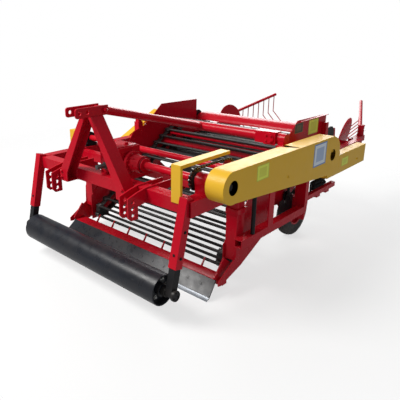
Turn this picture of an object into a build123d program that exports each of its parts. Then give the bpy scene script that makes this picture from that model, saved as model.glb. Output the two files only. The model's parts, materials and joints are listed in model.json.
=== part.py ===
"""Tractor-mounted two-row potato digger with a front depth roller, two rod webs and rear swath guides.

Working coordinates: X across the machine, Y rearward from the front face of the hitch beam, Z upward.
Everything is moved at the end so that the origin is the centre of the footprint, at ground level.
"""

import math
import os

from build123d import *

# ---------------------------------------------------------------- driving dimensions (mm)
GROUND = 22.0               # height of the ground in working coordinates
CLEAR_WIDTH = 1478.0        # between the web side panels
BEAM_TOP = 800.0            # height of the main frame's top
PANEL_T = 6.0               # web side panels
PLATE_T = 8.0               # structural plate
SHEET_T = 3.0               # guards and covers
GUARD_T = 4.0
FIT = 0.08                  # radial clearance of a running or sliding fit
REST_GAP = 0.5              # between a roller and the bars that run on it

BEAM_SIZE = 90.0            # front hitch beam, square tube
TUBE_WALL = 6.0
SIDE_BEAM_W = 90.0          # longitudinal side beams
SIDE_BEAM_H = 100.0
SIDE_BEAM_END = 1385.0
CROSS_BEAM = (380.0, 450.0) # front and rear face of the second cross beam
CROSS_BEAM_DROP = 10.0      # below the frame's top
REAR_ARM_W = 60.0           # rear extension that carries the swath guides
REAR_ARM_TOP = BEAM_TOP - 55.0
REAR_ARM_END = 2600.0
REAR_ARM_TIES = (1440.0, 2060.0)    # where short ties join the arm to the panel
TIE_L = 50.0

ARM_OUTSET = 42.0           # roller arms, from the panel's outer face to the arm's centre
ARM_SIZE = 62.0
ARM_WALL = 5.0
ARM_TOP = BEAM_TOP + 17.0
ARM_SLEEVE_END = 388.0      # lower end of the outer tube
ARM_TUBE_GRIP = 250.0       # how far the inner tube reaches into the outer one
ARM_FRONT_Y = -15.0         # front face of the arm at its top
ROLLER_R = 104.0
ROLLER_LENGTH = CLEAR_WIDTH - 22.0
ROLLER_WALL = 8.0
ROLLER_Y = -125.0
ROLLER_Z = 229.0
ROLLER_RECESS = 45.0        # depth of the end discs inside the drum
DISC_T = 10.0
AXLE_R = 22.0
AXLE_COLLAR_R = 34.0
AXLE_CAP_R = 36.0
AXLE_CAP_L = 14.0
HUB_R = 42.0

MAST_HEAD_TOP = BEAM_TOP + 496.0
MAST_HEAD_H = 66.0
MAST_HEAD_FRONT = -221.0
MAST_HEAD_REAR = 52.0
MAST_HEAD_CORNER = 18.0
MAST_GAP = 90.0             # clear width between the two head plates
MAST_PLATE_T = 12.0
MAST_LEG_D = 95.0
MAST_LEG_WALL = 8.0
MAST_FOOT = (272.0, 362.0)  # inner and outer edge of each foot, across the machine
TOP_LINK_R = 12.9           # clears a category 2 top link pin
TOP_LINK_SETBACKS = (34.0, 98.0)

HITCH_X = 418.0             # middle of each lower bracket
HITCH_GAP = 64.0            # clear width between its two plates
HITCH_FRONT = -160.0
HITCH_BACK = -75.0
HITCH_TOP = BEAM_TOP - 28.0
HITCH_HEIGHT = 155.0
HITCH_CORNER = 24.0
HITCH_HOLES = 3
HITCH_HOLE_DROP = 30.0      # from the top of the plate to the first hole
HITCH_HOLE_PITCH = 46.0
HITCH_PIN_R = 14.5          # clears a category 2 lower link pin
HITCH_PLATE_T = 12.0
HITCH_WEB_RISE = 10.0       # how far the webs stand above the beam
HITCH_WEB_END = 240.0

SHAFT_Y = 193.0             # gearbox output line, which the front sprockets share
SHAFT_Z = BEAM_TOP + 78.0
GEARBOX = (210.0, 200.0, 216.0)
SIDE_HOUSING_R = 62.0       # round housing on the output side
SIDE_HOUSING_L = 140.0
HOUSING_FLANGE_R = 82.0
HOUSING_FLANGE_START = 20.0 # from the gearbox's side
SNOUT_R = 56.0
SNOUT_L = 40.0
DRIVE_TUBE_R = 27.0
DRIVE_FLANGE_R = 50.0
DRIVE_HUB_R = 50.0
PTO_R = 17.45               # 1 3/8 inch input
PTO_LENGTH = 85.0
PTO_COLLAR_R = 25.45
PTO_Z = BEAM_TOP + 60.0
JACK_Y = 520.0              # jackshaft behind the gearbox
JACK_Z = BEAM_TOP + 75.0
JACK_R = 24.0
PILLOW_R = 52.0
CHAIN_R = 62.0              # inside radius of the inner chain round its wheels
RIGHT_CHAIN_R = 50.0
DRIVE_SHAFT_R = 20.0
CHAIN_W = 16.0
CHAIN_H = 14.0
INNER_CHAIN_INSET = 23.0    # of the inner chain from the panel's inner face

GUARD_W = 75.0
GUARD_TOP = BEAM_TOP + 210.0
INNER_GUARD_END = 490.0
GUARD_LIP = 22.0
RIGHT_GUARD = (400.0, 668.0)        # front and rear of the right guard
RIGHT_GUARD_TOP = BEAM_TOP + 148.0
RIGHT_GUARD_BOTTOM = BEAM_TOP - 88.0
STRIP_START = (880.0, BEAM_TOP - 80.0)    # sloping strip over the right chain side, y and z
STRIP_END = (1480.0, BEAM_TOP + 202.0)
STRIP_FEET = ((1255.0, BEAM_TOP + 73.0), (1405.0, BEAM_TOP + 143.0))

CASE_IN_GAP = 117.0         # from the panel's outer face to the case's inner face
CASE_W = 133.0
COVER_SCREW_R = 9.0
COVER_SCREW_H = 6.0
CASE_NOSE_R = 104.0
CASE_REAR_Y = 1690.0
CASE_REAR_TOP = BEAM_TOP + 166.0
CASE_HOLE_R = 46.0
CASE_REAR_HOLE = (1555.0, BEAM_TOP + 15.0)  # grease opening in the case's outer face, y and z
SHAFT_HOLE_R = 30.0
CASE_CHAIN_OUTSET = 196.0
CASE_FRONT_R = 69.0         # chain inside radius at the front and rear wheels
CASE_REAR_R = 30.0
REAR_CASE_GAP = 170.0       # from the panel's outer face to the rear case's inner face
REAR_CASE_END = 2245.0
REAR_CASE_TOP = BEAM_TOP - 13.0
REAR_CASE_BOTTOM = BEAM_TOP - 170.0
CASE_FEET = (620.0, 1150.0)
REAR_CASE_FEET = (1780.0, 2080.0)
FOOT_L = 60.0

BAR_R = 12.0                # web bars with their rubber sleeves
BAR_LENGTH = CLEAR_WIDTH - 38.0
BAR_PITCH = 100.0
BELT_W = 50.0
BELT_T = 8.0
BELT_INSET = 49.0           # of the belt's middle from the panel's inner face
WEB1_FRONT = (545.0, 190.0, 60.0)                   # y, z and bar-line radius of the front roller
WEB1_DRIVE = (1625.0, BEAM_TOP + 40.0, 66.0)
WEB2_FRONT = (1560.0, BEAM_TOP - 176.0, 48.0)
WEB2_DRIVE = (2165.0, BEAM_TOP - 140.0, 60.0)
WEB_SHAFT_R = 17.0
WEB_BEARING_R = 38.0
WEB_BEARING_T = 22.0
TENSION_DISC_R = 54.0       # discs on the ends of the rear web's front shaft
TENSION_DISC_T = 14.0
TENSION_DISC_GAP = 22.0
SUPPORT_SHARES = (0.28, 0.48, 0.68, 0.88)    # places of the support rollers along the front web
SHAKER_INDEX = 1            # the support roller that the right chain drives
SUPPORT_R = 20.0
SUPPORT_SHAFT_R = 10.0
SUPPORT_TUBE_R = 17.0       # round all the shafts but the foremost, between the belts
RETURN_SHARE = 0.76
RETURN_R = 35.0
MEMBER_W = 50.0
FRONT_MEMBER_H = 45.0
REAR_MEMBER_H = 34.0
FRONT_MEMBER_SHARE = 0.79   # place of the cross member along the front web
REAR_MEMBER_SHARE = 0.5

BLADE_REAR = (324.0, 131.4)         # underside at the rear edge, y and z
BLADE_TIP_Y = 209.0
BLADE_T = 10.0
BLADE_BEVEL = 30.0
BLADE_OVERHANGS = (63.0, 71.0, 55.0)    # beyond the panels at the tip, the widest place and the rear
BLADE_SHOULDER = 36.0
SHOVEL_OVERHANG = 45.0
SHOVEL_BACK = (417.0, 141.0)
SHOVEL_FLOOR = 96.0
FINGER_PITCH = CLEAR_WIDTH * 0.1353
FINGER_COUNT = 7
FINGER_T = 8.0
FINGER_TOP = (459.0, 194.0)
WING_T = 12.0

POST_Y = 488.0
POST_D = 85.0
POST_BOTTOM = 231.0
COLLAR_Z = 575.0
COLLAR_H = 40.0
COLLAR_LIP = 12.0
RAIL_SIZE = 60.0
RAIL_TOP = 417.0
RAIL_FRONT = 453.0
RIGHT_RAIL_FRONT = 560.0    # the right rail starts behind the post
UPRIGHT = (783.0, 853.0)    # front and rear of the flat upright on the left rail
UPRIGHT_T = 10.0
STRUT_Y = 606.0             # round strut between the left rail and the side beam
STRUT_R = 15.0
FRAME_FOOT = 40.0           # how far the brackets under the side beam reach in from its panel side
COLUMN_Y = 1335.0
COLUMN_D = 50.0
COLUMN_BOTTOM = 300.0
REAR_RAIL_H = 40.0
REAR_RAIL_TOP = 495.0
REAR_RAIL_END = 1890.0
REAR_RAIL_PADS = (1560.0, 1730.0)
LEVER_HUB = (1290.0, 484.0, 42.0)   # wheel on the web's tension lever, y, z and radius
LEVER_OUTSET = 45.0         # of the lever's inner face from the panel's outer face
LEVER_ROD_R = 11.0
LEVER_ROD_TOP = 1240.0      # y where the lever's rod meets the side beam

CROSS_TUBE_R = 39.0
CROSS_TUBE_Y = 1140.0
CROSS_TUBE_Z = BEAM_TOP + 184.0
SLEEVE_SIZE = 90.0
SLEEVE_INSETS = (179.0, 4.0)        # ends of the cross tube's sleeve from the left panel
CLAMP_PLATE_INSET = 99.0
CLAMP_PLATE_SIZE = 100.0
BRACE_R = 29.0
BRACE_HUB_R = 24.0
PANEL_POST_Y = 1110.0
PANEL_TOP = BEAM_TOP + 279.0
PANEL_REARS = {"left": 1930.0, "right": 1980.0}
PANEL_LIP_W = 20.0
END_DISC = (2022.0, BEAM_TOP + 78.0, 68.0)  # round plate at each end of the hood, y, z and radius
END_DISC_T = 12.0
REAR_POST = (1860.0, 1905.0)        # front and rear of the short post behind the panel's label place
REAR_POST_W = 40.0
REAR_POST_RISE = 205.0

WHEEL_R = 213.0
WHEEL_W = 100.0
WHEEL_INSET = 73.0          # of the tyre's middle from the panel's inner face
WHEEL_Y = 1608.0
RIM_R = 105.0
RIM_WALL = 7.0
WHEEL_AXLE_R = 18.0
AXLE_FLANGE_R = 30.0
WHEEL_HUB_R = 40.0
LEG_T = 16.0
LEG_GAP = 10.0              # between the panel and the leg
HUB_PLATE_R = 46.0

PADDLE_INSET = 62.0         # round guide plates beside the swath, centre from the panel's inner face
PADDLE_Y = 2544.0
PADDLE_Z = BEAM_TOP - 35.0
PADDLE_R = 183.0
PADDLE_DROP = 95.0          # from the centre to the straight lower edge
PADDLE_TURN = 7.2           # degrees inward to the rear
PADDLE_LEAN = 10.7          # degrees outward at the top
PADDLE_FOOT = (2440.0, 2475.0)
PIVOT_OUTSET = 5.0          # of the guide's pivot from the panel's outer face
PIVOT_Y = 2770.0
PIVOT_BLOCK_R = 34.0
GUIDE_SLEEVE_R = 30.0
GUIDE_START = (-4.0, 2766.0, BEAM_TOP + 36.0)      # ends of the rising tube, x from the panel's outer face
GUIDE_END = (-219.0, 3295.0, BEAM_TOP + 208.0)
GUIDE_TUBE_R = 17.0
GUIDE_ROD_R = 5.0
GUIDE_BEND_R = 5.6          # swelling where each rod is bent
GUIDE_ROD_COUNT = 7
GUIDE_ROD_DROP = 200.0
GUIDE_ROD_REACH = 190.0
GUIDE_ROD_SHARES = (0.16, 0.96)
GUIDE_POST_R = 20.0
GUIDE_POST_RISE = 66.0

# ---------------------------------------------------------------- places worked out from them
PANEL_IN = CLEAR_WIDTH / 2
PANEL_OUT = PANEL_IN + PANEL_T
FRAME_OUT = PANEL_OUT + SIDE_BEAM_W
PLATE_OUT = FRAME_OUT + PLATE_T
RAIL_OUT = PLATE_OUT + RAIL_SIZE
BEAM_BOTTOM = BEAM_TOP - BEAM_SIZE
SIDE_BEAM_BOTTOM = BEAM_TOP - SIDE_BEAM_H
REAR_ARM_IN = FRAME_OUT - REAR_ARM_W
ARM_X = PANEL_OUT + ARM_OUTSET
INNER_CHAIN_X = PANEL_IN - INNER_CHAIN_INSET
CASE_IN = PANEL_OUT + CASE_IN_GAP
CASE_OUT = CASE_IN + CASE_W
CASE_CHAIN_X = PANEL_OUT + CASE_CHAIN_OUTSET
REAR_CASE_IN = PANEL_OUT + REAR_CASE_GAP
LEFT_OUT = CASE_OUT + COVER_SCREW_H
BELT_X = PANEL_IN - BELT_INSET
SHOVEL_HALF = PANEL_OUT + SHOVEL_OVERHANG
WHEEL_X = PANEL_IN - WHEEL_INSET
WHEEL_Z = GROUND + WHEEL_R
BELT_DROP = BAR_R - 2 + BELT_T      # from the bar line to the inside of the belt
GEARBOX_BOTTOM = SHAFT_Z - GEARBOX[2] / 2
RIGHT_CHAIN_X = FRAME_OUT + GUARD_W / 2
RIGHT_OUT = FRAME_OUT + GUARD_W
PIVOT_X = PANEL_OUT + PIVOT_OUTSET
FRONT_END = ROLLER_Y - ROLLER_R
REAR_END = GUIDE_END[1] + 8.0
MOVE = Location((-(LEFT_OUT - RIGHT_OUT) / 2, -(FRONT_END + REAR_END) / 2, -GROUND))

pieces = {}


def keep(name, *shapes):
    """Files the solids of one node."""
    solids = []
    for shape in shapes:
        solids += list(shape.solids()) if hasattr(shape, "solids") else list(shape)
    pieces[name] = solids


def box(x0, x1, y0, y1, z0, z1):
    return Pos((x0 + x1) / 2, (y0 + y1) / 2, (z0 + z1) / 2) * Box(abs(x1 - x0), abs(y1 - y0), abs(z1 - z0))


def rod_x(x0, x1, y, z, r):
    return Pos((x0 + x1) / 2, y, z) * Rot(0, 90, 0) * Cylinder(r, abs(x1 - x0))


def rod_y(y0, y1, x, z, r):
    return Pos(x, (y0 + y1) / 2, z) * Rot(90, 0, 0) * Cylinder(r, abs(y1 - y0))


def rod_z(z0, z1, x, y, r):
    return Pos(x, y, (z0 + z1) / 2) * Cylinder(r, abs(z1 - z0))


def bar_between(start, end, r):
    """Round bar from one point to another."""
    a, b = Vector(*start), Vector(*end)
    plane = Plane(origin=(a + b) * 0.5, z_dir=b - a)
    return plane * Cylinder(r, (b - a).length)


def plate(points, x0, x1):
    """Outline in Y and Z, thickness from x0 to x1."""
    outline = Polyline(*[(x0, y, z) for y, z in points], close=True)
    return extrude(make_face(outline), amount=abs(x1 - x0), dir=(math.copysign(1, x1 - x0), 0, 0))


def flat(points, z0, z1):
    """Outline in X and Y, thickness from z0 to z1."""
    outline = Polyline(*[(x, y, z0) for x, y in points], close=True)
    return extrude(make_face(outline), amount=z1 - z0, dir=(0, 0, 1))


def upright(points, y0, y1):
    """Outline in X and Z, thickness from y0 to y1."""
    outline = Polyline(*[(x, y0, z) for x, z in points], close=True)
    return extrude(make_face(outline), amount=y1 - y0, dir=(0, 1, 0))


def square_tube(x0, x1, y0, y1, z0, z1, along, wall=TUBE_WALL):
    """Hollow rectangular tube, open at both ends."""
    outer = box(x0, x1, y0, y1, z0, z1)
    inset = [wall, wall, wall]
    inset["xyz".index(along)] = -1.0
    inner = box(x0 + inset[0], x1 - inset[0], y0 + inset[1], y1 - inset[1], z0 + inset[2], z1 - inset[2])
    return outer - inner


def other_side(shape):
    return mirror(shape, about=Plane.YZ)


def both(shape):
    return [shape, other_side(shape)]


# ---------------------------------------------------------------- roller and its arms
ARM_MID_Y = ARM_FRONT_Y + ARM_SIZE / 2
ARM_LEAN = math.degrees(math.atan2(ARM_MID_Y - ROLLER_Y, ARM_TOP - ROLLER_Z))
ARM_TILT = Rot(-ARM_LEAN, 0, 0)


def along_arm(z):
    """Point on the arm's centre line, in Y and Z, at a height."""
    share = (z - ROLLER_Z) / (ARM_TOP - ROLLER_Z)
    return ROLLER_Y + (ARM_MID_Y - ROLLER_Y) * share


def arm_piece(size, z_low, z_high, x=ARM_X):
    """Square bar along the arm's line between two heights."""
    length = (z_high - z_low) / math.cos(math.radians(ARM_LEAN))
    middle = (z_high + z_low) / 2
    return Pos(x, along_arm(middle), middle) * ARM_TILT * Box(size, size, length)


def arm_sleeve():
    outer = arm_piece(ARM_SIZE, ARM_SLEEVE_END, ARM_TOP)
    bore = arm_piece(ARM_SIZE - 2 * ARM_WALL, ARM_SLEEVE_END - 40, ARM_TOP - 6)
    return outer - bore


def carrier_tube():
    size = ARM_SIZE - 2 * ARM_WALL - 2 * FIT
    tube = arm_piece(size, ROLLER_Z, ARM_SLEEVE_END + ARM_TUBE_GRIP)
    tube -= arm_piece(size - 2 * ARM_WALL, ROLLER_Z + size / 2, ARM_TOP + ARM_SIZE)
    foot = rod_x(ARM_X - size / 2, ARM_X + size / 2, ROLLER_Y, ROLLER_Z, size / 2)
    bore = rod_x(ARM_X - size, ARM_X + size, ROLLER_Y, ROLLER_Z, AXLE_R)
    return tube + foot - bore


def roller():
    half = ROLLER_LENGTH / 2
    drum = rod_x(-half, half, ROLLER_Y, ROLLER_Z, ROLLER_R)
    drum -= rod_x(-half - 1, half + 1, ROLLER_Y, ROLLER_Z, ROLLER_R - ROLLER_WALL)
    bore = rod_x(-half - 1, half + 1, ROLLER_Y, ROLLER_Z, AXLE_R + FIT)
    disc = rod_x(half - ROLLER_RECESS - DISC_T, half - ROLLER_RECESS, ROLLER_Y, ROLLER_Z, ROLLER_R - ROLLER_WALL / 2)
    hub = rod_x(half - 2 * ROLLER_RECESS, half - ARM_WALL, ROLLER_Y, ROLLER_Z, HUB_R)
    for part in (disc, hub):
        drum += part
        drum += other_side(part)
    return drum - bore


def roller_axle():
    end = ARM_X + ARM_SIZE / 2 + AXLE_CAP_L
    shaft = rod_x(-end, end, ROLLER_Y, ROLLER_Z, AXLE_R)
    size = ARM_SIZE - 2 * ARM_WALL - 2 * FIT
    collar = rod_x(ROLLER_LENGTH / 2 + 2, ARM_X - size / 2, ROLLER_Y, ROLLER_Z, AXLE_COLLAR_R)
    cap = rod_x(ARM_X + size / 2, end, ROLLER_Y, ROLLER_Z, AXLE_CAP_R)
    return shaft + collar + cap + other_side(collar) + other_side(cap)


keep("roller", roller())
keep("roller_axle", roller_axle())
keep("roller_carrier_tubes", *both(carrier_tube()))

# ---------------------------------------------------------------- main frame
ARM_IN = ARM_X - ARM_SIZE / 2
arm_space = arm_piece(ARM_SIZE, ARM_SLEEVE_END - ARM_SIZE, ARM_TOP + ARM_SIZE)
front_beam = square_tube(-ARM_IN, ARM_IN, 0, BEAM_SIZE, BEAM_BOTTOM, BEAM_TOP, "x")
keep("front_beam", front_beam)
keep("roller_arms", *both(arm_sleeve()))

side_beam = square_tube(PANEL_OUT, FRAME_OUT, 0, SIDE_BEAM_END, SIDE_BEAM_BOTTOM, BEAM_TOP, "y")
side_beam -= arm_space
side_beam -= box(0, ARM_IN, -1, BEAM_SIZE, 0, BEAM_TOP + 1)
side_beam = max(side_beam.solids(), key=lambda solid: solid.volume)
keep("side_beams", *both(side_beam))

cross_beam_top = BEAM_TOP - CROSS_BEAM_DROP
cross_beam = square_tube(
    -PANEL_OUT, PANEL_OUT, *CROSS_BEAM, cross_beam_top - (CROSS_BEAM[1] - CROSS_BEAM[0]), cross_beam_top, "x"
)

# ---------------------------------------------------------------- mast and brace
head_mid_z = MAST_HEAD_TOP - MAST_HEAD_H / 2
head_in = MAST_GAP / 2
head_out = head_in + MAST_PLATE_T


def mast_head():
    """One drilled head plate, its front corners rounded."""
    low, corner = MAST_HEAD_TOP - MAST_HEAD_H, MAST_HEAD_CORNER
    body = box(head_in, head_out, MAST_HEAD_FRONT + corner, MAST_HEAD_REAR, low, MAST_HEAD_TOP)
    body += box(head_in, head_out, MAST_HEAD_FRONT, MAST_HEAD_REAR, low + corner, MAST_HEAD_TOP - corner)
    for z in (low + corner, MAST_HEAD_TOP - corner):
        body += rod_x(head_in, head_out, MAST_HEAD_FRONT + corner, z, corner)
    for setback in TOP_LINK_SETBACKS:
        body -= rod_x(head_in - 1, head_out + 1, MAST_HEAD_FRONT + setback, head_mid_z, TOP_LINK_R)
    return body


def mast_leg():
    """Leaning leg, flat on the front beam at its foot and tight under the head plate."""
    top = MAST_HEAD_TOP - MAST_HEAD_H
    foot_in, foot_out = MAST_FOOT
    knee = BEAM_TOP - 20
    wall = MAST_LEG_WALL
    outline = [
        (foot_in, BEAM_BOTTOM),
        (foot_out, BEAM_BOTTOM),
        (foot_out, knee),
        (head_out + wall, top),
        (head_in - 30, top),
        (foot_in, knee),
    ]
    pocket = [
        (foot_in - 30, BEAM_BOTTOM + wall),
        (foot_out - wall, BEAM_BOTTOM + wall),
        (foot_out - wall, knee - 2),
        (head_out, top - wall),
        (head_in - MAST_GAP, top - wall),
    ]
    return upright(outline, -MAST_LEG_D, 0) - upright(pocket, -MAST_LEG_D + wall, -wall)


spacer = box(
    -head_in, head_in, -MAST_LEG_D, MAST_HEAD_REAR - BRACE_HUB_R,
    MAST_HEAD_TOP - MAST_HEAD_H, MAST_HEAD_TOP - MAST_HEAD_H + DISC_T,
)
brace_hub_y = MAST_HEAD_REAR - MAST_HEAD_H / 2
brace = bar_between((0, brace_hub_y, head_mid_z), (0, CROSS_TUBE_Y, CROSS_TUBE_Z), BRACE_R)
brace += rod_x(-head_in, head_in, brace_hub_y, head_mid_z, BRACE_HUB_R)
tube_end = PANEL_OUT + ARM_SIZE
cross_tube = rod_x(-tube_end, tube_end, CROSS_TUBE_Y, CROSS_TUBE_Z, CROSS_TUBE_R)
mast = spacer + mast_leg() + mast_head() + other_side(mast_leg()) + other_side(mast_head())
keep("mast", mast - brace)
keep("mast_brace", brace - cross_tube)
half_sleeve = SLEEVE_SIZE / 2
sleeve = box(
    PANEL_IN - SLEEVE_INSETS[0], PANEL_IN - SLEEVE_INSETS[1], CROSS_TUBE_Y - half_sleeve, CROSS_TUBE_Y + half_sleeve,
    CROSS_TUBE_Z - half_sleeve, CROSS_TUBE_Z + half_sleeve,
)
plate_rear = CROSS_TUBE_Y - half_sleeve
plate_front = plate_rear - PLATE_T
end_plate = box(
    PANEL_IN - CLAMP_PLATE_INSET, PANEL_IN, plate_front, plate_rear,
    CROSS_TUBE_Z - CLAMP_PLATE_SIZE / 2, CROSS_TUBE_Z + CLAMP_PLATE_SIZE / 2,
)
flange_x = PANEL_IN - CLAMP_PLATE_INSET / 2
flange = rod_y(plate_front - DISC_T, plate_front, flange_x, CROSS_TUBE_Z, 0.4 * CLAMP_PLATE_SIZE)
keep("cross_tube", cross_tube + sleeve + end_plate + flange)

# ---------------------------------------------------------------- lower hitch brackets
def hitch_plate(x):
    """One plate of a lower bracket: the drilled front part and the web that runs back over the beam."""
    foot = HITCH_TOP - HITCH_HEIGHT
    outline = [
        (HITCH_FRONT, HITCH_TOP),
        (HITCH_BACK, BEAM_TOP - 4),
        (0, BEAM_TOP + HITCH_WEB_RISE),
        (HITCH_WEB_END, BEAM_TOP + HITCH_WEB_RISE),
        (HITCH_WEB_END, BEAM_BOTTOM + 50),
        (BEAM_SIZE, BEAM_BOTTOM + 20),
        (BEAM_SIZE, BEAM_TOP),
        (0, BEAM_TOP),
        (0, BEAM_BOTTOM),
        (HITCH_BACK, BEAM_BOTTOM - 10),
        (HITCH_BACK, foot),
        (HITCH_FRONT + HITCH_CORNER, foot),
        (HITCH_FRONT, foot + HITCH_CORNER),
    ]
    body = plate(outline, x - HITCH_PLATE_T / 2, x + HITCH_PLATE_T / 2)
    for index in range(HITCH_HOLES):
        body -= rod_x(x - HITCH_PLATE_T, x + HITCH_PLATE_T, hitch_hole_y, hitch_hole_z(index), HITCH_PIN_R)
    return body


hitch_hole_y = (HITCH_FRONT + HITCH_BACK) / 2


def hitch_hole_z(index):
    return HITCH_TOP - HITCH_HOLE_DROP - index * HITCH_HOLE_PITCH


brackets = []
for side in (-1, 1):
    for way in (-1, 1):
        brackets.append(hitch_plate(side * HITCH_X + way * (HITCH_GAP / 2 + HITCH_PLATE_T / 2)))
keep("lower_hitch_brackets", *brackets)

# ---------------------------------------------------------------- gearbox and drive
gx, gy, gz = GEARBOX
case_front = SHAFT_Y - gy / 2
snout_front = case_front - SNOUT_L
tube_start = gx / 2 + SIDE_HOUSING_L + PLATE_T
gear_case = box(-gx / 2, gx / 2, case_front, case_front + gy, GEARBOX_BOTTOM, GEARBOX_BOTTOM + gz)
gear_case += rod_x(-gx / 2 - 24, gx / 2 + SIDE_HOUSING_L, SHAFT_Y, SHAFT_Z, SIDE_HOUSING_R)
flange_start = gx / 2 + HOUSING_FLANGE_START
gear_case += rod_x(flange_start, flange_start + 3 * PLATE_T, SHAFT_Y, SHAFT_Z, HOUSING_FLANGE_R)
gear_case += rod_x(gx / 2 + SIDE_HOUSING_L, tube_start, SHAFT_Y, SHAFT_Z, SIDE_HOUSING_R - DISC_T)
gear_case += rod_y(snout_front, case_front + 20, 0, PTO_Z, SNOUT_R)
pto_end = case_front + 55
pto_space = rod_y(snout_front - 1, pto_end + 5, 0, PTO_Z, PTO_R + FIT)
keep("gearbox", gear_case - pto_space)
pto = rod_y(snout_front - PTO_LENGTH, pto_end, 0, PTO_Z, PTO_R)
pto += rod_y(snout_front - 2 - DISC_T, snout_front - 2, 0, PTO_Z, PTO_COLLAR_R)
keep("pto_stub", pto)
cradle = box(gx / 2 - 52, gx / 2 - 2, BEAM_SIZE, CROSS_BEAM[0], BEAM_TOP - 62, GEARBOX_BOTTOM)
keep("second_cross_beam", cross_beam + cradle + other_side(cradle))

wheel_clear = CHAIN_W / 2 + 6       # from the chain's middle to what stands beside its wheel
hub_start = INNER_CHAIN_X + CHAIN_W + 6
drive_tube = rod_x(tube_start, INNER_CHAIN_X - wheel_clear, SHAFT_Y, SHAFT_Z, DRIVE_TUBE_R)
drive_tube += rod_x(tube_start, tube_start + wheel_clear, SHAFT_Y, SHAFT_Z, DRIVE_FLANGE_R)
keep("drive_tube", drive_tube)
hub = rod_x(hub_start, CASE_IN, SHAFT_Y, SHAFT_Z, DRIVE_HUB_R)
hub += box(hub_start, FRAME_OUT, SHAFT_Y - 44, SHAFT_Y + 44, BEAM_TOP, SHAFT_Z - 20)
hub -= rod_x(hub_start - 1, CASE_IN + 1, SHAFT_Y, SHAFT_Z, DRIVE_SHAFT_R)
keep("drive_hub", hub)


def sprocket(x, y, z, r, bore):
    """Chain wheel up to the chain's inside, with a hub."""
    wheel = rod_x(x - 4, x + 4, y, z, r)
    wheel += rod_x(x - 11, x + 11, y, z, bore + 12)
    return wheel - rod_x(x - 12, x + 12, y, z, bore)


def loop_outline(front, rear, shrink):
    """Outer outline of a band round two wheels, as a face in the YZ plane."""
    (y0, z0, r0), (y1, z1, r1) = front, rear
    return capsule(y0, z0, r0 - shrink, y1, z1, r1 - shrink)


def capsule(y0, z0, r0, y1, z1, r1):
    """Face bounded by two arcs and their outer tangents."""
    length = math.hypot(y1 - y0, z1 - z0)
    heading = math.atan2(z1 - z0, y1 - y0)
    spread = math.acos((r0 - r1) / length)

    def at(y, z, r, angle):
        return (0, y + r * math.cos(angle), z + r * math.sin(angle))

    top, bottom = heading + spread, heading - spread
    edges = [
        Line(at(y0, z0, r0, top), at(y1, z1, r1, top)),
        ThreePointArc(at(y1, z1, r1, top), at(y1, z1, r1, heading), at(y1, z1, r1, bottom)),
        Line(at(y1, z1, r1, bottom), at(y0, z0, r0, bottom)),
        ThreePointArc(at(y0, z0, r0, bottom), at(y0, z0, r0, heading + math.pi), at(y0, z0, r0, top)),
    ]
    return make_face(Wire(edges))


def run_place(front, rear, share, side, away):
    """Point along the upper (side 1) or lower (side -1) run, a distance outside the bar line."""
    (y0, z0, r0), (y1, z1, r1) = front, rear
    length = math.hypot(y1 - y0, z1 - z0)
    heading = math.atan2(z1 - z0, y1 - y0)
    angle = heading + side * math.acos((r0 - r1) / length)
    y = y0 + (y1 - y0) * share + (r0 + (r1 - r0) * share + away) * math.cos(angle)
    z = z0 + (z1 - z0) * share + (r0 + (r1 - r0) * share + away) * math.sin(angle)
    return y, z


def band(front, rear, inner_shrink, thickness, x0, x1):
    """Closed belt or chain: the ring between two capsules."""
    outer = extrude(loop_outline(front, rear, inner_shrink - thickness), amount=x1 - x0, dir=(1, 0, 0))
    inner = extrude(loop_outline(front, rear, inner_shrink), amount=x1 - x0, dir=(1, 0, 0))
    return Pos(x0, 0, 0) * (outer - inner)


inner_front = (SHAFT_Y, SHAFT_Z, CHAIN_R)
inner_rear = (JACK_Y, JACK_Z, CHAIN_R)
main_front = (SHAFT_Y, SHAFT_Z, CASE_FRONT_R)
main_rear = (WEB1_DRIVE[0], WEB1_DRIVE[1], CASE_REAR_R)
shaker = run_place(WEB1_FRONT, WEB1_DRIVE, SUPPORT_SHARES[SHAKER_INDEX], 1, -BELT_DROP - SUPPORT_R - REST_GAP)
right_front = (JACK_Y, JACK_Z, RIGHT_CHAIN_R)
right_rear = (shaker[0], shaker[1], RIGHT_CHAIN_R)
inner_wheel = sprocket(INNER_CHAIN_X, *inner_front, DRIVE_SHAFT_R)
case_wheel = sprocket(CASE_CHAIN_X, *main_front, DRIVE_SHAFT_R)
drive_shaft = rod_x(INNER_CHAIN_X - wheel_clear, CASE_OUT - 2 * DISC_T, SHAFT_Y, SHAFT_Z, DRIVE_SHAFT_R)
keep("drive_shaft", drive_shaft + inner_wheel + case_wheel)
jack = rod_x(-RIGHT_CHAIN_X - 20, FRAME_OUT - 18, JACK_Y, JACK_Z, JACK_R)
jack += sprocket(INNER_CHAIN_X, *inner_rear, JACK_R)
jack += sprocket(-RIGHT_CHAIN_X, *right_front, JACK_R)
keep("jackshaft", jack)
pillow_x = PANEL_OUT + 40
pillow = box(pillow_x - 26, pillow_x + 26, JACK_Y - 62, JACK_Y + 62, BEAM_TOP, BEAM_TOP + 26)
pillow += rod_x(pillow_x - 24, pillow_x + 24, JACK_Y, JACK_Z, PILLOW_R)
pillow += box(pillow_x - 24, pillow_x + 24, JACK_Y - 40, JACK_Y + 40, BEAM_TOP + 20, JACK_Z)
pillow -= rod_x(pillow_x - 30, pillow_x + 30, JACK_Y, JACK_Z, JACK_R)

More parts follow.
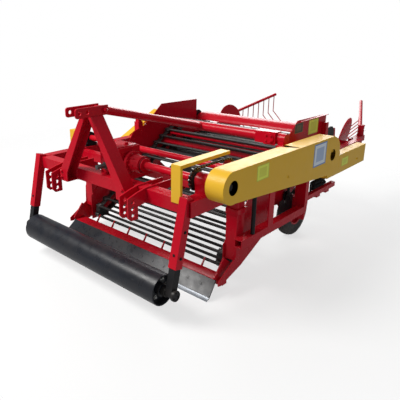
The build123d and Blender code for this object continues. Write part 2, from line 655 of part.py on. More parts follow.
guard_out = ARM_IN
guard_in = guard_out - GUARD_W
guard_front = -GUARD_T - 2
inner_guard = box(guard_in, guard_out, guard_front, 0, BEAM_TOP - 30, GUARD_TOP)
inner_guard += box(guard_in, guard_out, guard_front, INNER_GUARD_END, GUARD_TOP + guard_front, GUARD_TOP)
inner_guard += box(guard_out - SHEET_T, guard_out, guard_front, INNER_GUARD_END, GUARD_TOP - GUARD_LIP, GUARD_TOP)
inner_guard += box(guard_out - SHEET_T, guard_out, guard_front, GUARD_LIP - PLATE_T, BEAM_TOP, GUARD_TOP)

right_in = -FRAME_OUT
guard_y, guard_end = RIGHT_GUARD
right_guard = box(-RIGHT_OUT, right_in, guard_y, guard_y + GUARD_T, RIGHT_GUARD_BOTTOM, RIGHT_GUARD_TOP)
right_guard += box(-RIGHT_OUT, right_in, guard_y, guard_end, RIGHT_GUARD_TOP - GUARD_T, RIGHT_GUARD_TOP)
strip_run = STRIP_END[0] - STRIP_START[0]
strip_rise = STRIP_END[1] - STRIP_START[1]
strip_mid = (STRIP_START[0] + strip_run / 2, STRIP_START[1] + strip_rise / 2)
strip_length = math.hypot(strip_run, strip_rise)
slope = Rot(math.degrees(math.atan2(strip_rise, strip_run)), 0, 0)
strip = Pos((right_in - RIGHT_OUT) / 2, *strip_mid) * slope * Box(GUARD_W, strip_length, GUARD_T)
lip = Box(GUARD_T, strip_length, GUARD_LIP)
strip += Pos(right_in - GUARD_T / 2, strip_mid[0], strip_mid[1] - GUARD_LIP / 2) * slope * lip
for y, z in STRIP_FEET:
    strip += box(right_in - GUARD_T, -PANEL_OUT, y - 15, y + 15, z - 5, z + 5)
keep("chain_guards", inner_guard, right_guard, strip)

# ---------------------------------------------------------------- chain cases
CASE_BODY = [
    (SHAFT_Y, SHAFT_Z + CASE_NOSE_R),
    (CASE_REAR_Y - 135, CASE_REAR_TOP),
    (CASE_REAR_Y - 62, CASE_REAR_TOP - 30),
    (CASE_REAR_Y - 22, CASE_REAR_TOP - 78),
    (CASE_REAR_Y, REAR_CASE_TOP),
    (CASE_REAR_Y, REAR_CASE_BOTTOM),
    (CASE_REAR_Y - 200, REAR_CASE_BOTTOM),
    (CASE_REAR_Y - 205, REAR_CASE_BOTTOM + 30),
    (1020, SIDE_BEAM_BOTTOM),
    (650, SIDE_BEAM_BOTTOM + 35),
    (SHAFT_Y + 20, SHAFT_Z - CASE_NOSE_R + 2),
]
COVER_SCREWS = ((845, BEAM_TOP - 2), (1531, BEAM_TOP + 53))
REAR_COVER_SCREW = (2076, REAR_CASE_TOP - 105)


def case_solid(x0, x1, inset):
    """Filled case, inset all round."""
    body = plate(CASE_BODY, x0, x1) + rod_x(x0, x1, SHAFT_Y, SHAFT_Z, CASE_NOSE_R)
    if inset:
        face = body.faces().sort_by(Axis.X)[0]
        return extrude(offset(face, amount=-inset), amount=x1 - x0, dir=(1, 0, 0))
    return body


def cover_screw(y, z):
    return rod_x(CASE_OUT - SHEET_T, LEFT_OUT, y, z, COVER_SCREW_R)


def main_case():
    case = case_solid(CASE_IN, CASE_OUT, 0)
    case -= case_solid(CASE_IN + SHEET_T, CASE_OUT - SHEET_T, SHEET_T)
    for y, z in ((SHAFT_Y, SHAFT_Z), CASE_REAR_HOLE):
        case -= rod_x(CASE_OUT - 10, CASE_OUT + 1, y, z, CASE_HOLE_R)
    for y, z in ((SHAFT_Y, SHAFT_Z), (WEB1_DRIVE[0], WEB1_DRIVE[1])):
        case -= rod_x(CASE_IN - 1, CASE_IN + 10, y, z, SHAFT_HOLE_R)
    for y, z in COVER_SCREWS:
        case += cover_screw(y, z)
    slot_end = CASE_OUT - 12
    slot = [(CASE_IN - 1, 930), (CASE_IN - 1, 1012), (slot_end, 1004), (slot_end, 990)]
    return case - flat(slot, CASE_REAR_TOP - 6, CASE_REAR_TOP + 34)


keep("main_chain_case", main_case())
rear_case = box(REAR_CASE_IN, CASE_OUT, CASE_REAR_Y, REAR_CASE_END, REAR_CASE_BOTTOM, REAR_CASE_TOP)
rear_case -= box(
    REAR_CASE_IN + SHEET_T, CASE_OUT - SHEET_T, CASE_REAR_Y + SHEET_T, REAR_CASE_END - SHEET_T,
    REAR_CASE_BOTTOM + SHEET_T, REAR_CASE_TOP - SHEET_T,
)
rear_case -= rod_x(REAR_CASE_IN - 1, REAR_CASE_IN + 10, WEB2_DRIVE[0], WEB2_DRIVE[1], SHAFT_HOLE_R)
keep("rear_chain_case", rear_case + cover_screw(*REAR_COVER_SCREW))
case_feet = []
for y in CASE_FEET:
    case_feet.append(box(FRAME_OUT, CASE_IN, y, y + FOOT_L, BEAM_TOP - 60, BEAM_TOP - 10))
for y in REAR_CASE_FEET:
    case_feet.append(box(FRAME_OUT, REAR_CASE_IN, y, y + FOOT_L, REAR_ARM_TOP - 50, REAR_ARM_TOP - 5))
keep("case_brackets", *case_feet)
chains = []
for front, rear, x in (
    (inner_front, inner_rear, INNER_CHAIN_X),
    (main_front, main_rear, CASE_CHAIN_X),
    (right_front, right_rear, -RIGHT_CHAIN_X),
):
    chains.append(band(front, rear, 0, CHAIN_H, x - CHAIN_W / 2, x + CHAIN_W / 2))
keep("drive_chains", *chains)

# ---------------------------------------------------------------- shovel
blade_run = BLADE_REAR[0] - BLADE_TIP_Y
blade_rise = BLADE_REAR[1] - GROUND
blade_length = math.hypot(blade_run, blade_rise)
blade_slope = math.atan2(blade_rise, blade_run)


def blade():
    """Flat share lying on its sloping underside, with a bevel ground on top along the tip."""
    tip, widest, rear = (PANEL_OUT + overhang for overhang in BLADE_OVERHANGS)
    outline = [
        (-tip, 0),
        (tip, 0),
        (widest, BLADE_SHOULDER),
        (rear, blade_length),
        (-rear, blade_length),
        (-widest, BLADE_SHOULDER),
    ]
    sheet = flat(outline, 0, BLADE_T)
    bevel = [(0, 0), (BLADE_BEVEL, BLADE_T), (BLADE_BEVEL, 2 * BLADE_T), (-BLADE_T, 2 * BLADE_T), (-BLADE_T, 0)]
    sheet -= plate(bevel, -widest - 1, widest + 1)
    return Pos(0, BLADE_TIP_Y, GROUND) * Rot(math.degrees(blade_slope), 0, 0) * sheet


keep("digging_blade", blade())
lip_y = BLADE_REAR[0] - BLADE_T * math.sin(blade_slope)
lip_z = BLADE_REAR[1] + BLADE_T * math.cos(blade_slope)
back_y, back_z = SHOVEL_BACK
SHOVEL = [
    (lip_y, lip_z),
    (lip_y + 3, lip_z + 3),
    (back_y, back_z),
    (back_y, back_z - 14),
    (400, 118),
    (400, SHOVEL_FLOOR),
    (340, SHOVEL_FLOOR),
    BLADE_REAR,
]
FINGER = [
    (back_y - 20, back_z - 4),
    (back_y - 8, back_z + 6),
    (FINGER_TOP[0] - 10, FINGER_TOP[1] + 4),
    FINGER_TOP,
    (back_y + 6, back_z - 8),
    (back_y, back_z - 14),
]
WING = [
    BLADE_REAR,
    (lip_y, lip_z),
    (300, 160),
    (402, 278),
    (458, 233),
    (508, 198),
    (550, 125),
    (400, SHOVEL_FLOOR),
    (340, SHOVEL_FLOOR),
]
shovel = plate(SHOVEL, -SHOVEL_HALF, SHOVEL_HALF)
for index in range(FINGER_COUNT):
    x = (index - (FINGER_COUNT - 1) / 2) * FINGER_PITCH
    shovel += plate(FINGER, x - FINGER_T / 2, x + FINGER_T / 2)
keep("shovel_beam", shovel)
wing_out = SHOVEL_HALF + WING_T
tie = box(wing_out, FRAME_OUT, 345, 395, SHOVEL_FLOOR + 2, SHOVEL_FLOOR + 34)
keep("shovel_wings", *both(plate(WING, SHOVEL_HALF, wing_out) + tie))

# ---------------------------------------------------------------- side structure
PANEL_WINDOW = [
    (1128, 330),
    (1126, 424),
    (1142, 440),
    (1192, 432),
    (1212, 410),
    (1218, 360),
]


def panel_outline(rear):
    """Side panel in Y and Z, its upper part ending at the given place."""
    return [
        (470, 112),
        (640, 112),
        (1480, BEAM_TOP - 280),
        (2230, BEAM_TOP - 280),
        (2230, BEAM_TOP - 10),
        (1990, BEAM_TOP + 50),
        (rear, BEAM_TOP + 50),
        (rear, PANEL_TOP - 10),
        (1421, PANEL_TOP),
        (1305, BEAM_TOP + 190),
        (1180, BEAM_TOP + 100),
        (1018, BEAM_TOP + 50),
        (957, BEAM_TOP - 36),
        (470, 340),
    ]


def side_panel(rear):
    """Left-hand panel with its top lip, bored for the web shafts."""
    panel = plate(panel_outline(rear), PANEL_IN, PANEL_OUT)
    for y, z, _ in (WEB1_FRONT, WEB1_DRIVE, WEB2_FRONT, WEB2_DRIVE):
        panel -= rod_x(PANEL_IN - 1, PANEL_OUT + 1, y, z, WEB_SHAFT_R + 2)
    panel -= plate(PANEL_WINDOW, PANEL_IN - 1, PANEL_OUT + 1)
    return panel + box(PANEL_OUT, PANEL_OUT + PANEL_LIP_W, 1438, rear, PANEL_TOP - 16, PANEL_TOP - 10)


SIDE_PLATE = [
    (290, 118),
    (290, 150),
    (480, 262),
    (POST_Y, RAIL_TOP + 3),
    (900, RAIL_TOP + 3),
    (900, RAIL_TOP - RAIL_SIZE),
    (800, 300),
    (550, 182),
    (320, 112),
]
column_rear = COLUMN_Y + COLUMN_D
COLUMN = [
    (COLUMN_Y, RAIL_TOP - RAIL_SIZE),
    (COLUMN_Y, SIDE_BEAM_BOTTOM),
    (column_rear, SIDE_BEAM_BOTTOM),
    (column_rear, 430),
    (column_rear - 14, 360),
    (column_rear - 38, COLUMN_BOTTOM),
    (COLUMN_Y, COLUMN_BOTTOM),
]
right_panel = other_side(side_panel(PANEL_REARS["right"]))
right_panel -= rod_x(-PANEL_OUT - 1, -PANEL_IN + 1, *shaker, SUPPORT_SHAFT_R + 2)
keep("side_panels", side_panel(PANEL_REARS["left"]), right_panel)

arm_low = REAR_ARM_TOP - REAR_ARM_W
rear_arm = square_tube(REAR_ARM_IN, FRAME_OUT, SIDE_BEAM_END, REAR_ARM_END, arm_low, REAR_ARM_TOP, "y")
for y in REAR_ARM_TIES:
    rear_arm += box(PANEL_OUT, REAR_ARM_IN, y, y + TIE_L, arm_low + 5, REAR_ARM_TOP - 5)
keep("rear_arms", *both(rear_arm))
post_rear = POST_Y + POST_D
post = square_tube(PANEL_OUT, FRAME_OUT, POST_Y, post_rear, POST_BOTTOM, SIDE_BEAM_BOTTOM, "z")
collar_top = COLLAR_Z + COLLAR_H
collar = box(PANEL_OUT, FRAME_OUT + 10, POST_Y - COLLAR_LIP, post_rear + COLLAR_LIP, COLLAR_Z, collar_top)
collar -= box(PANEL_OUT - 1, FRAME_OUT - 1, POST_Y + 1, post_rear - 1, COLLAR_Z - 1, collar_top + 1)
keep("frame_posts", *both(post + collar))
keep("side_plates", *both(plate(SIDE_PLATE, FRAME_OUT, PLATE_OUT)))

rail = square_tube(PLATE_OUT, RAIL_OUT, RAIL_FRONT, COLUMN_Y, RAIL_TOP - RAIL_SIZE, RAIL_TOP, "y")
foot_in, foot_low = PANEL_OUT + FRAME_FOOT, SIDE_BEAM_BOTTOM - DISC_T
upright_post = box(RAIL_OUT - UPRIGHT_T, RAIL_OUT, *UPRIGHT, RAIL_TOP, SIDE_BEAM_BOTTOM)
upright_post += box(foot_in, RAIL_OUT, *UPRIGHT, foot_low, SIDE_BEAM_BOTTOM)
right_rail = square_tube(-RAIL_OUT, -PLATE_OUT, RIGHT_RAIL_FRONT, COLUMN_Y, RAIL_TOP - RAIL_SIZE, RAIL_TOP, "y")
keep("lower_rails", rail + upright_post, right_rail)
column = plate(COLUMN, PANEL_OUT + LEG_GAP + 56, RAIL_OUT)
column -= box(CASE_IN - 5, RAIL_OUT + 1, COLUMN_Y - 1, column_rear + 1, REAR_CASE_BOTTOM - 10, BEAM_TOP)
rail_low = REAR_RAIL_TOP - REAR_RAIL_H
rear_rail = box(RAIL_OUT - REAR_RAIL_H, RAIL_OUT, column_rear, REAR_RAIL_END, rail_low, REAR_RAIL_TOP)
for y in REAR_RAIL_PADS:
    rear_rail += box(RAIL_OUT - 34, RAIL_OUT - 6, y, y + 62, rail_low - 26, REAR_RAIL_TOP - 10)
keep("rear_rails", *both(rear_rail))

# ---------------------------------------------------------------- web tension levers
lever_y, lever_z, lever_r = LEVER_HUB
lever_in = PANEL_OUT + LEVER_OUTSET
lever_out = lever_in + PLATE_T
LEVER = [
    (COLUMN_Y, 355),
    (COLUMN_Y, 455),
    (lever_y + 20, lever_z + 26),
    (lever_y - 14, lever_z + 30),
    (lever_y - 34, lever_z + 4),
    (lever_y - 70, 440),
    (lever_y - 112, 488),
    (lever_y - 160, 486),
    (lever_y - 166, 410),
    (lever_y - 146, 345),
    (lever_y - 20, 348),
]
lever = plate(LEVER, lever_in, lever_out)
for start, end, share in ((-34, -24, 1.0), (-24, -12, 0.7), (-12, 0, 1.0), (PLATE_T, 20, 0.6)):
    lever += rod_x(lever_in + start, lever_in + end, lever_y, lever_z, share * lever_r)
rod_foot = (lever_in, lever_y - 12, lever_z + 10)
lever_rod = bar_between(rod_foot, (lever_in, LEVER_ROD_TOP, SIDE_BEAM_BOTTOM), LEVER_ROD_R)
lever += lever_rod - box(PANEL_OUT, FRAME_OUT, LEVER_ROD_TOP - 50, lever_y, SIDE_BEAM_BOTTOM, BEAM_TOP)
strut_x = RAIL_OUT - STRUT_R
strut = rod_z(RAIL_TOP, SIDE_BEAM_BOTTOM, strut_x, STRUT_Y, STRUT_R)
strut += box(foot_in, strut_x, STRUT_Y - STRUT_R, STRUT_Y + STRUT_R, foot_low, SIDE_BEAM_BOTTOM)
keep("web_tension_levers", *both(lever))
keep("rail_strut", strut)

# ---------------------------------------------------------------- wheels
LEG = [
    (WHEEL_Y - 46, WHEEL_Z + 26),
    (WHEEL_Y + 20, WHEEL_Z + 44),
    (column_rear + 30, 470),
    (COLUMN_Y, 470),
    (COLUMN_Y, 340),
    (WHEEL_Y - 20, WHEEL_Z - 44),
]
leg_in = PANEL_OUT + LEG_GAP
leg_out = leg_in + LEG_T
leg = plate(LEG, leg_in, leg_out) + rod_x(leg_in, leg_out, WHEEL_Y, WHEEL_Z, HUB_PLATE_R)
leg += box(leg_in, leg_in + 58, COLUMN_Y, COLUMN_Y + 36, 350, 460)
leg -= rod_x(leg_in - 1, leg_out + 1, WHEEL_Y, WHEEL_Z, WHEEL_AXLE_R)
keep("rear_columns", *both(column + leg))
axle_in = WHEEL_X - WHEEL_W / 2 - 20
axle = rod_x(axle_in, leg_out + DISC_T, WHEEL_Y, WHEEL_Z, WHEEL_AXLE_R)
axle += rod_x(axle_in - 12, axle_in, WHEEL_Y, WHEEL_Z, AXLE_FLANGE_R)
axle += rod_x(WHEEL_X + WHEEL_W / 2 + 6, leg_in, WHEEL_Y, WHEEL_Z, AXLE_FLANGE_R)
keep("wheel_axles", *both(axle))


def tyre(r):
    """Tyre cross-section turned about the axle, hollow, with rounded shoulders."""
    half = WHEEL_W / 2
    outline = [
        (RIM_R, -half + 10), (r - 52, -half), (r - 14, -half + 9), (r, -half + 26),
        (r, half - 26), (r - 14, half - 9), (r - 52, half), (RIM_R, half - 10),
        (RIM_R, half - 18), (r - 52, half - 10), (r - 20, half - 20),
        (r - 20, -half + 20), (r - 52, -half + 10), (RIM_R, -half + 18),
    ]
    face = make_face(Polyline(*[(radius, 0, across) for radius, across in outline], close=True))
    return revolve(face, Axis.Z)


def wheel_rim():
    """Dished rim with a hub bored for the axle."""
    half = WHEEL_W / 2
    body = Cylinder(RIM_R, WHEEL_W - 20) - Cylinder(RIM_R - RIM_WALL, WHEEL_W)
    body += Pos(0, 0, half - 36) * Cylinder(RIM_R - RIM_WALL / 2, DISC_T)
    body += Cylinder(WHEEL_HUB_R, WHEEL_W + 8)
    return body - Cylinder(WHEEL_AXLE_R + FIT, 2 * WHEEL_W)


wheel_place = Pos(WHEEL_X, WHEEL_Y, WHEEL_Z) * Rot(0, 90, 0)
tyre_solid = wheel_place * tyre(WHEEL_R)
rim_solid = wheel_place * wheel_rim()
keep("tyre_left", tyre_solid)
keep("tyre_right", other_side(tyre_solid))
keep("rim_left", rim_solid)
keep("rim_right", other_side(rim_solid))

# ---------------------------------------------------------------- webs
def run_points(front, rear, pitch):
    """Evenly spaced places round the bar line."""
    (y0, z0, r0), (y1, z1, r1) = front, rear
    length = math.hypot(y1 - y0, z1 - z0)
    heading = math.atan2(z1 - z0, y1 - y0)
    spread = math.acos((r0 - r1) / length)
    straight = math.sqrt(length ** 2 - (r1 - r0) ** 2)
    rear_arc = r1 * 2 * spread
    front_arc = r0 * (2 * math.pi - 2 * spread)
    total = 2 * straight + rear_arc + front_arc
    count = round(total / pitch)
    places = []
    for index in range(count):
        s = total * index / count
        if s < straight:
            share = s / straight
            places.append(run_place(front, rear, share, 1, 0))
        elif s < straight + rear_arc:
            angle = heading + spread - (s - straight) / r1
            places.append((y1 + r1 * math.cos(angle), z1 + r1 * math.sin(angle)))
        elif s < 2 * straight + rear_arc:
            share = 1 - (s - straight - rear_arc) / straight
            places.append(run_place(front, rear, share, -1, 0))
        else:
            angle = heading - spread - (s - 2 * straight - rear_arc) / r0
            places.append((y0 + r0 * math.cos(angle), z0 + r0 * math.sin(angle)))
    return places


def web(front, rear):
    """Bars and two belts as one closed loop."""
    loop = band(front, rear, BELT_DROP, BELT_T, BELT_X - BELT_W / 2, BELT_X + BELT_W / 2)
    solids = list(loop.solids()) + list(other_side(loop).solids())
    bars = [rod_x(-BAR_LENGTH / 2, BAR_LENGTH / 2, y, z, BAR_R) for y, z in run_points(front, rear, BAR_PITCH)]
    return solids[0].fuse(*solids[1:], *bars)


def web_shaft(place, x0, x1, shaft_r):
    """Shaft with a wheel under each belt."""
    y, z, r = place
    shaft = rod_x(x0, x1, y, z, shaft_r)
    for x in (-BELT_X, BELT_X):
        shaft += rod_x(x - BELT_W / 2, x + BELT_W / 2, y, z, r - BELT_DROP)
    return shaft


keep("front_web", web(WEB1_FRONT, WEB1_DRIVE))
keep("rear_web", web(WEB2_FRONT, WEB2_DRIVE))
shaft_end = PANEL_OUT + 26
nose_roller = rod_x(BELT_X - BELT_W / 2, shaft_end, WEB1_FRONT[0], WEB1_FRONT[1], WEB_SHAFT_R)
nose_roller += rod_x(BELT_X - BELT_W / 2, BELT_X + BELT_W / 2, WEB1_FRONT[0], WEB1_FRONT[1], WEB1_FRONT[2] - BELT_DROP)
rear_idler = web_shaft(WEB2_FRONT, -shaft_end, shaft_end, WEB_SHAFT_R)
disc_in = shaft_end + TENSION_DISC_GAP
disc_out = disc_in + TENSION_DISC_T
tension_disc = rod_x(shaft_end, disc_out, WEB2_FRONT[0], WEB2_FRONT[1], WEB_SHAFT_R)
tension_disc += rod_x(disc_in, disc_out, WEB2_FRONT[0], WEB2_FRONT[1], TENSION_DISC_R)
keep("web_idlers", *both(nose_roller), rear_idler + tension_disc + other_side(tension_disc))
front_drive = web_shaft(WEB1_DRIVE, -shaft_end, CASE_CHAIN_X + 20, WEB_SHAFT_R)
keep("front_web_drive_shaft", front_drive + sprocket(CASE_CHAIN_X, *main_rear, WEB_SHAFT_R))
keep("rear_web_drive_shaft", web_shaft(WEB2_DRIVE, -shaft_end, CASE_OUT - 20, WEB_SHAFT_R))
bearings = []
bearing_out = PANEL_OUT + WEB_BEARING_T
for y, z, _ in (WEB1_FRONT, WEB1_DRIVE, WEB2_FRONT, WEB2_DRIVE):
    bearing = rod_x(PANEL_OUT, bearing_out, y, z, WEB_BEARING_R)
    bearings += both(bearing - rod_x(PANEL_OUT - 1, bearing_out + 1, y, z, WEB_SHAFT_R))
keep("shaft_bearings", *bearings, *both(pillow))
support_rollers = []
for share in SUPPORT_SHARES:
    y, z = run_place(WEB1_FRONT, WEB1_DRIVE, share, 1, -BELT_DROP - SUPPORT_R - REST_GAP)
    support = rod_x(-PANEL_IN, PANEL_IN, y, z, SUPPORT_SHAFT_R)
    for x in (-BELT_X, BELT_X):
        support += rod_x(x - BELT_W / 2, x + BELT_W / 2, y, z, SUPPORT_R)
    if share > SUPPORT_SHARES[0]:
        support += rod_x(-BELT_X, BELT_X, y, z, SUPPORT_TUBE_R)
    if (y, z) == shaker:
        support += rod_x(-RIGHT_CHAIN_X - 12, -PANEL_IN, y, z, SUPPORT_SHAFT_R)
        support += sprocket(-RIGHT_CHAIN_X, *right_rear, SUPPORT_SHAFT_R)
    support_rollers.append(support)
y, z = run_place(WEB1_FRONT, WEB1_DRIVE, RETURN_SHARE, -1, BAR_R + RETURN_R + REST_GAP)
support_rollers.append(rod_x(-PANEL_IN, PANEL_IN, y, z, RETURN_R))
keep("web_support_rollers", *support_rollers)
members = []
for front, rear, share, height in (
    (WEB1_FRONT, WEB1_DRIVE, FRONT_MEMBER_SHARE, FRONT_MEMBER_H),
    (WEB2_FRONT, WEB2_DRIVE, REAR_MEMBER_SHARE, REAR_MEMBER_H),
):
    y = front[0] + (rear[0] - front[0]) * share
    z = front[1] + (rear[1] - front[1]) * share
    lean = math.degrees(math.atan2(rear[1] - front[1], rear[0] - front[0]))
    members.append(Pos(0, y, z) * Rot(lean, 0, 0) * Box(2 * PANEL_IN, MEMBER_W, height))
keep("web_cross_members", *members)

# ---------------------------------------------------------------- hood and rear fittings
HOOD = [
    (1990, BEAM_TOP + 54),
    (2010, BEAM_TOP + 84),
    (2046, BEAM_TOP + 108),
    (2093, BEAM_TOP + 119),
    (2140, BEAM_TOP + 112),
]
hood_under = [(y, z - GUARD_T) for y, z in HOOD]
hood = plate(HOOD + hood_under[::-1], -PANEL_OUT - GUARD_T, PANEL_OUT + GUARD_T)
hood_end_in, hood_end_out = PANEL_OUT, PANEL_OUT + GUARD_T
hood_ends = both(plate(hood_under + [(2160, BEAM_TOP + 7)], hood_end_in, hood_end_out))
keep("rear_hood", hood + hood_ends[0] + hood_ends[1])
keep("hood_end_discs", *both(rod_x(hood_end_out, hood_end_out + END_DISC_T, *END_DISC)))
rear_post = box(PANEL_OUT, PANEL_OUT + REAR_POST_W, *REAR_POST, BEAM_TOP + 62, BEAM_TOP + REAR_POST_RISE)
keep("rear_posts", *both(rear_post))

# ---------------------------------------------------------------- swath guides
def paddle():
    """Round plate with a straight lower edge that keeps the crop off the arm."""
    blank = Rot(0, 90, 0) * Cylinder(PADDLE_R, PLATE_T)
    blank -= Pos(0, 0, -PADDLE_DROP - PADDLE_R) * Box(2 * PLATE_T, 2 * PADDLE_R, 2 * PADDLE_R)
    place = Pos(PANEL_IN - PADDLE_INSET, PADDLE_Y, PADDLE_Z)
    return place * Rot(0, 0, PADDLE_TURN) * Rot(0, PADDLE_LEAN, 0) * blank


foot_box = box(PANEL_IN - PADDLE_INSET - 20, REAR_ARM_IN, *PADDLE_FOOT, arm_low + 10, REAR_ARM_TOP - 10)
paddle_foot = max((foot_box - paddle()).solids(), key=lambda solid: solid.center().X)
keep("guide_plates", *both(paddle() + paddle_foot))

pivot_floor = REAR_ARM_TOP - 2
pivot_in, pivot_rear = PIVOT_X - PIVOT_BLOCK_R, PIVOT_Y + PIVOT_BLOCK_R
post_z = REAR_ARM_TOP + GUIDE_POST_RISE
pivot_base = box(pivot_in, PIVOT_X + PIVOT_BLOCK_R, REAR_ARM_END, pivot_rear, arm_low + 5, pivot_floor)
pivot_base += box(pivot_in, REAR_ARM_IN, REAR_ARM_END - TIE_L, REAR_ARM_END, arm_low + 5, pivot_floor)
pivot_base += rod_z(pivot_floor - 2, post_z, PIVOT_X, PIVOT_Y, GUIDE_POST_R)
keep("guide_pivots", *both(pivot_base))


def swath_guide():
    """Rising tube on a sleeve, with bent rods hanging from it."""
    start = (PANEL_OUT + GUIDE_START[0], *GUIDE_START[1:])
    end = (PANEL_OUT + GUIDE_END[0], *GUIDE_END[1:])
    sleeve = rod_z(pivot_floor + REST_GAP, start[2] + 14, PIVOT_X, PIVOT_Y, GUIDE_SLEEVE_R)
    body = sleeve + bar_between(start, end, GUIDE_TUBE_R)
    body -= rod_z(pivot_floor - 1, post_z + REST_GAP, PIVOT_X, PIVOT_Y, GUIDE_POST_R + FIT)
    first, last = GUIDE_ROD_SHARES
    for index in range(GUIDE_ROD_COUNT):
        share = first + (last - first) * index / (GUIDE_ROD_COUNT - 1)
        x, y, z = (a + (b - a) * share for a, b in zip(start, end))
        knee = (x, y, z - GUIDE_ROD_DROP)
        foot = (x - GUIDE_ROD_REACH, y, z - GUIDE_ROD_DROP - GUIDE_ROD_REACH)
        body += bar_between((x, y, z), knee, GUIDE_ROD_R)
        body += bar_between(knee, foot, GUIDE_ROD_R) + Pos(*knee) * Sphere(GUIDE_BEND_R)
    return body


guide = swath_guide()
keep("swath_guide_left", guide)
keep("swath_guide_right", other_side(guide))

# ---------------------------------------------------------------- panel posts
step_z = BEAM_TOP + 135
panel_post = box(PANEL_OUT, PANEL_OUT + 60, PANEL_POST_Y - 14, PANEL_POST_Y + 44, BEAM_TOP, step_z)
panel_post += box(PANEL_OUT + 6, PANEL_OUT + 54, PANEL_POST_Y - 4, PANEL_POST_Y + 34, step_z - 5, CROSS_TUBE_Z)
panel_post -= cross_tube + sleeve + end_plate
keep("panel_posts", *both(panel_post))

# ---------------------------------------------------------------- export
os.makedirs("parts", exist_ok=True)
for name, solids in pieces.items():
    moved = [MOVE * solid for solid in solids]
    export_step(moved[0] if len(moved) == 1 else Compound(children=moved), f"parts/{name}.step")
print(len(pieces), "nodes")
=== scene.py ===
"""Looks for the potato harvester: paint, rubber, chains, bolts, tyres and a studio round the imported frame."""

import json
import math

import bmesh
import bpy
from bpy.props import FloatProperty, FloatVectorProperty, PointerProperty
from mathutils import Matrix, Vector


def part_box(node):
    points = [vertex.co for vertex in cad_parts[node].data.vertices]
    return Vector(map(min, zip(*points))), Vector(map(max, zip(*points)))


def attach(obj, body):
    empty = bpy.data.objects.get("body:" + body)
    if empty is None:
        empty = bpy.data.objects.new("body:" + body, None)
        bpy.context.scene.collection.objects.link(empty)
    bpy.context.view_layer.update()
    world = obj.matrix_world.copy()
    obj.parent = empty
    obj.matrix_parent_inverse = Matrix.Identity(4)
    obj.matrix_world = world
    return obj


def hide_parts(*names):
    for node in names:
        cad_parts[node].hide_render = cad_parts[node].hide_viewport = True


bl_info = {
    "name": "Potato Harvester Finishing",
    "version": (1, 0, 0),
    "blender": (4, 5, 0),
    "location": "3D View > Sidebar > Harvester",
    "description": "Finishes the packed potato harvester with paint, rubber, chains, fasteners and a studio",
    "category": "Object",
}

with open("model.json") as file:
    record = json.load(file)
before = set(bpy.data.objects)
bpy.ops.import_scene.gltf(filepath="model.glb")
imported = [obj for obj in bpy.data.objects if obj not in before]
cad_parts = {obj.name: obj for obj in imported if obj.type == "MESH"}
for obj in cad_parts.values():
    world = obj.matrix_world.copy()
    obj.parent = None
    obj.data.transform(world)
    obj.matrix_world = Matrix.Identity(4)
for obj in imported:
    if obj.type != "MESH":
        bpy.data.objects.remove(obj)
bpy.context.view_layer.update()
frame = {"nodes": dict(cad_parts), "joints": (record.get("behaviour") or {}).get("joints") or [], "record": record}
NODES = frame["nodes"]
FINISH_OF = {row["node"]: row["material_slot"] for row in frame["record"]["subparts"]}
GROUPS = {}
MATERIALS = {}

X, Y, Z = Vector((1, 0, 0)), Vector((0, 1, 0)), Vector((0, 0, 1))
FULL_TURN = 2 * math.pi
SMOOTH_BELOW = math.radians(38)
SAME_PLACE = 1e-5
END_REACH = 0.03


# ---- reading the frame
class Span:
    """Box round some points, with its middle."""

    def __init__(self, points):
        self.lo = Vector([min(point[i] for point in points) for i in range(3)])
        self.hi = Vector([max(point[i] for point in points) for i in range(3)])
        self.mid = (self.lo + self.hi) / 2
        self.size = self.hi - self.lo


def span(node):
    return Span(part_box(node))


def islands(node):
    """The separate solids of a node, as lists of points."""
    bm = bmesh.new()
    bm.from_mesh(NODES[node].data)
    bmesh.ops.remove_doubles(bm, verts=bm.verts, dist=SAME_PLACE)
    left = set(bm.verts)
    groups = []
    while left:
        group, queue = [], [left.pop()]
        while queue:
            vert = queue.pop()
            group.append(vert.co.copy())
            for edge in vert.link_edges:
                other = edge.other_vert(vert)
                if other in left:
                    left.remove(other)
                    queue.append(other)
        groups.append(group)
    bm.free()
    return groups


def solids(node):
    """Boxes of a node's solids, from the machine's right to its left and then front to rear."""
    return sorted((Span(group) for group in islands(node)), key=lambda s: (round(s.mid.x, 2), s.mid.y))


def end_centres(node):
    """Middles of the round ends that lie on a node's +X face."""
    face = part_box(node)[1].x - SAME_PLACE
    ends = []
    for vert in NODES[node].data.vertices:
        if vert.co.x < face:
            continue
        near = [end for end in ends if (end[0] - vert.co).length < END_REACH]
        if near:
            near[0].append(vert.co.copy())
        else:
            ends.append([vert.co.copy()])
    return [Span(end).mid for end in ends]


def front_face(node):
    """Box of the points on a node's foremost face."""
    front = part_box(node)[0].y + 1e-4
    return Span([vert.co for vert in NODES[node].data.vertices if vert.co.y < front])


MIDDLE_X = span("front_beam").mid.x


def at_x(x, place):
    """A place moved sideways to an x."""
    return Vector((x, place[1], place[2]))


def both_hands(place):
    """A place, and the same place on the other side of the machine."""
    return [Vector(place), at_x(2 * MIDDLE_X - place[0], place)]


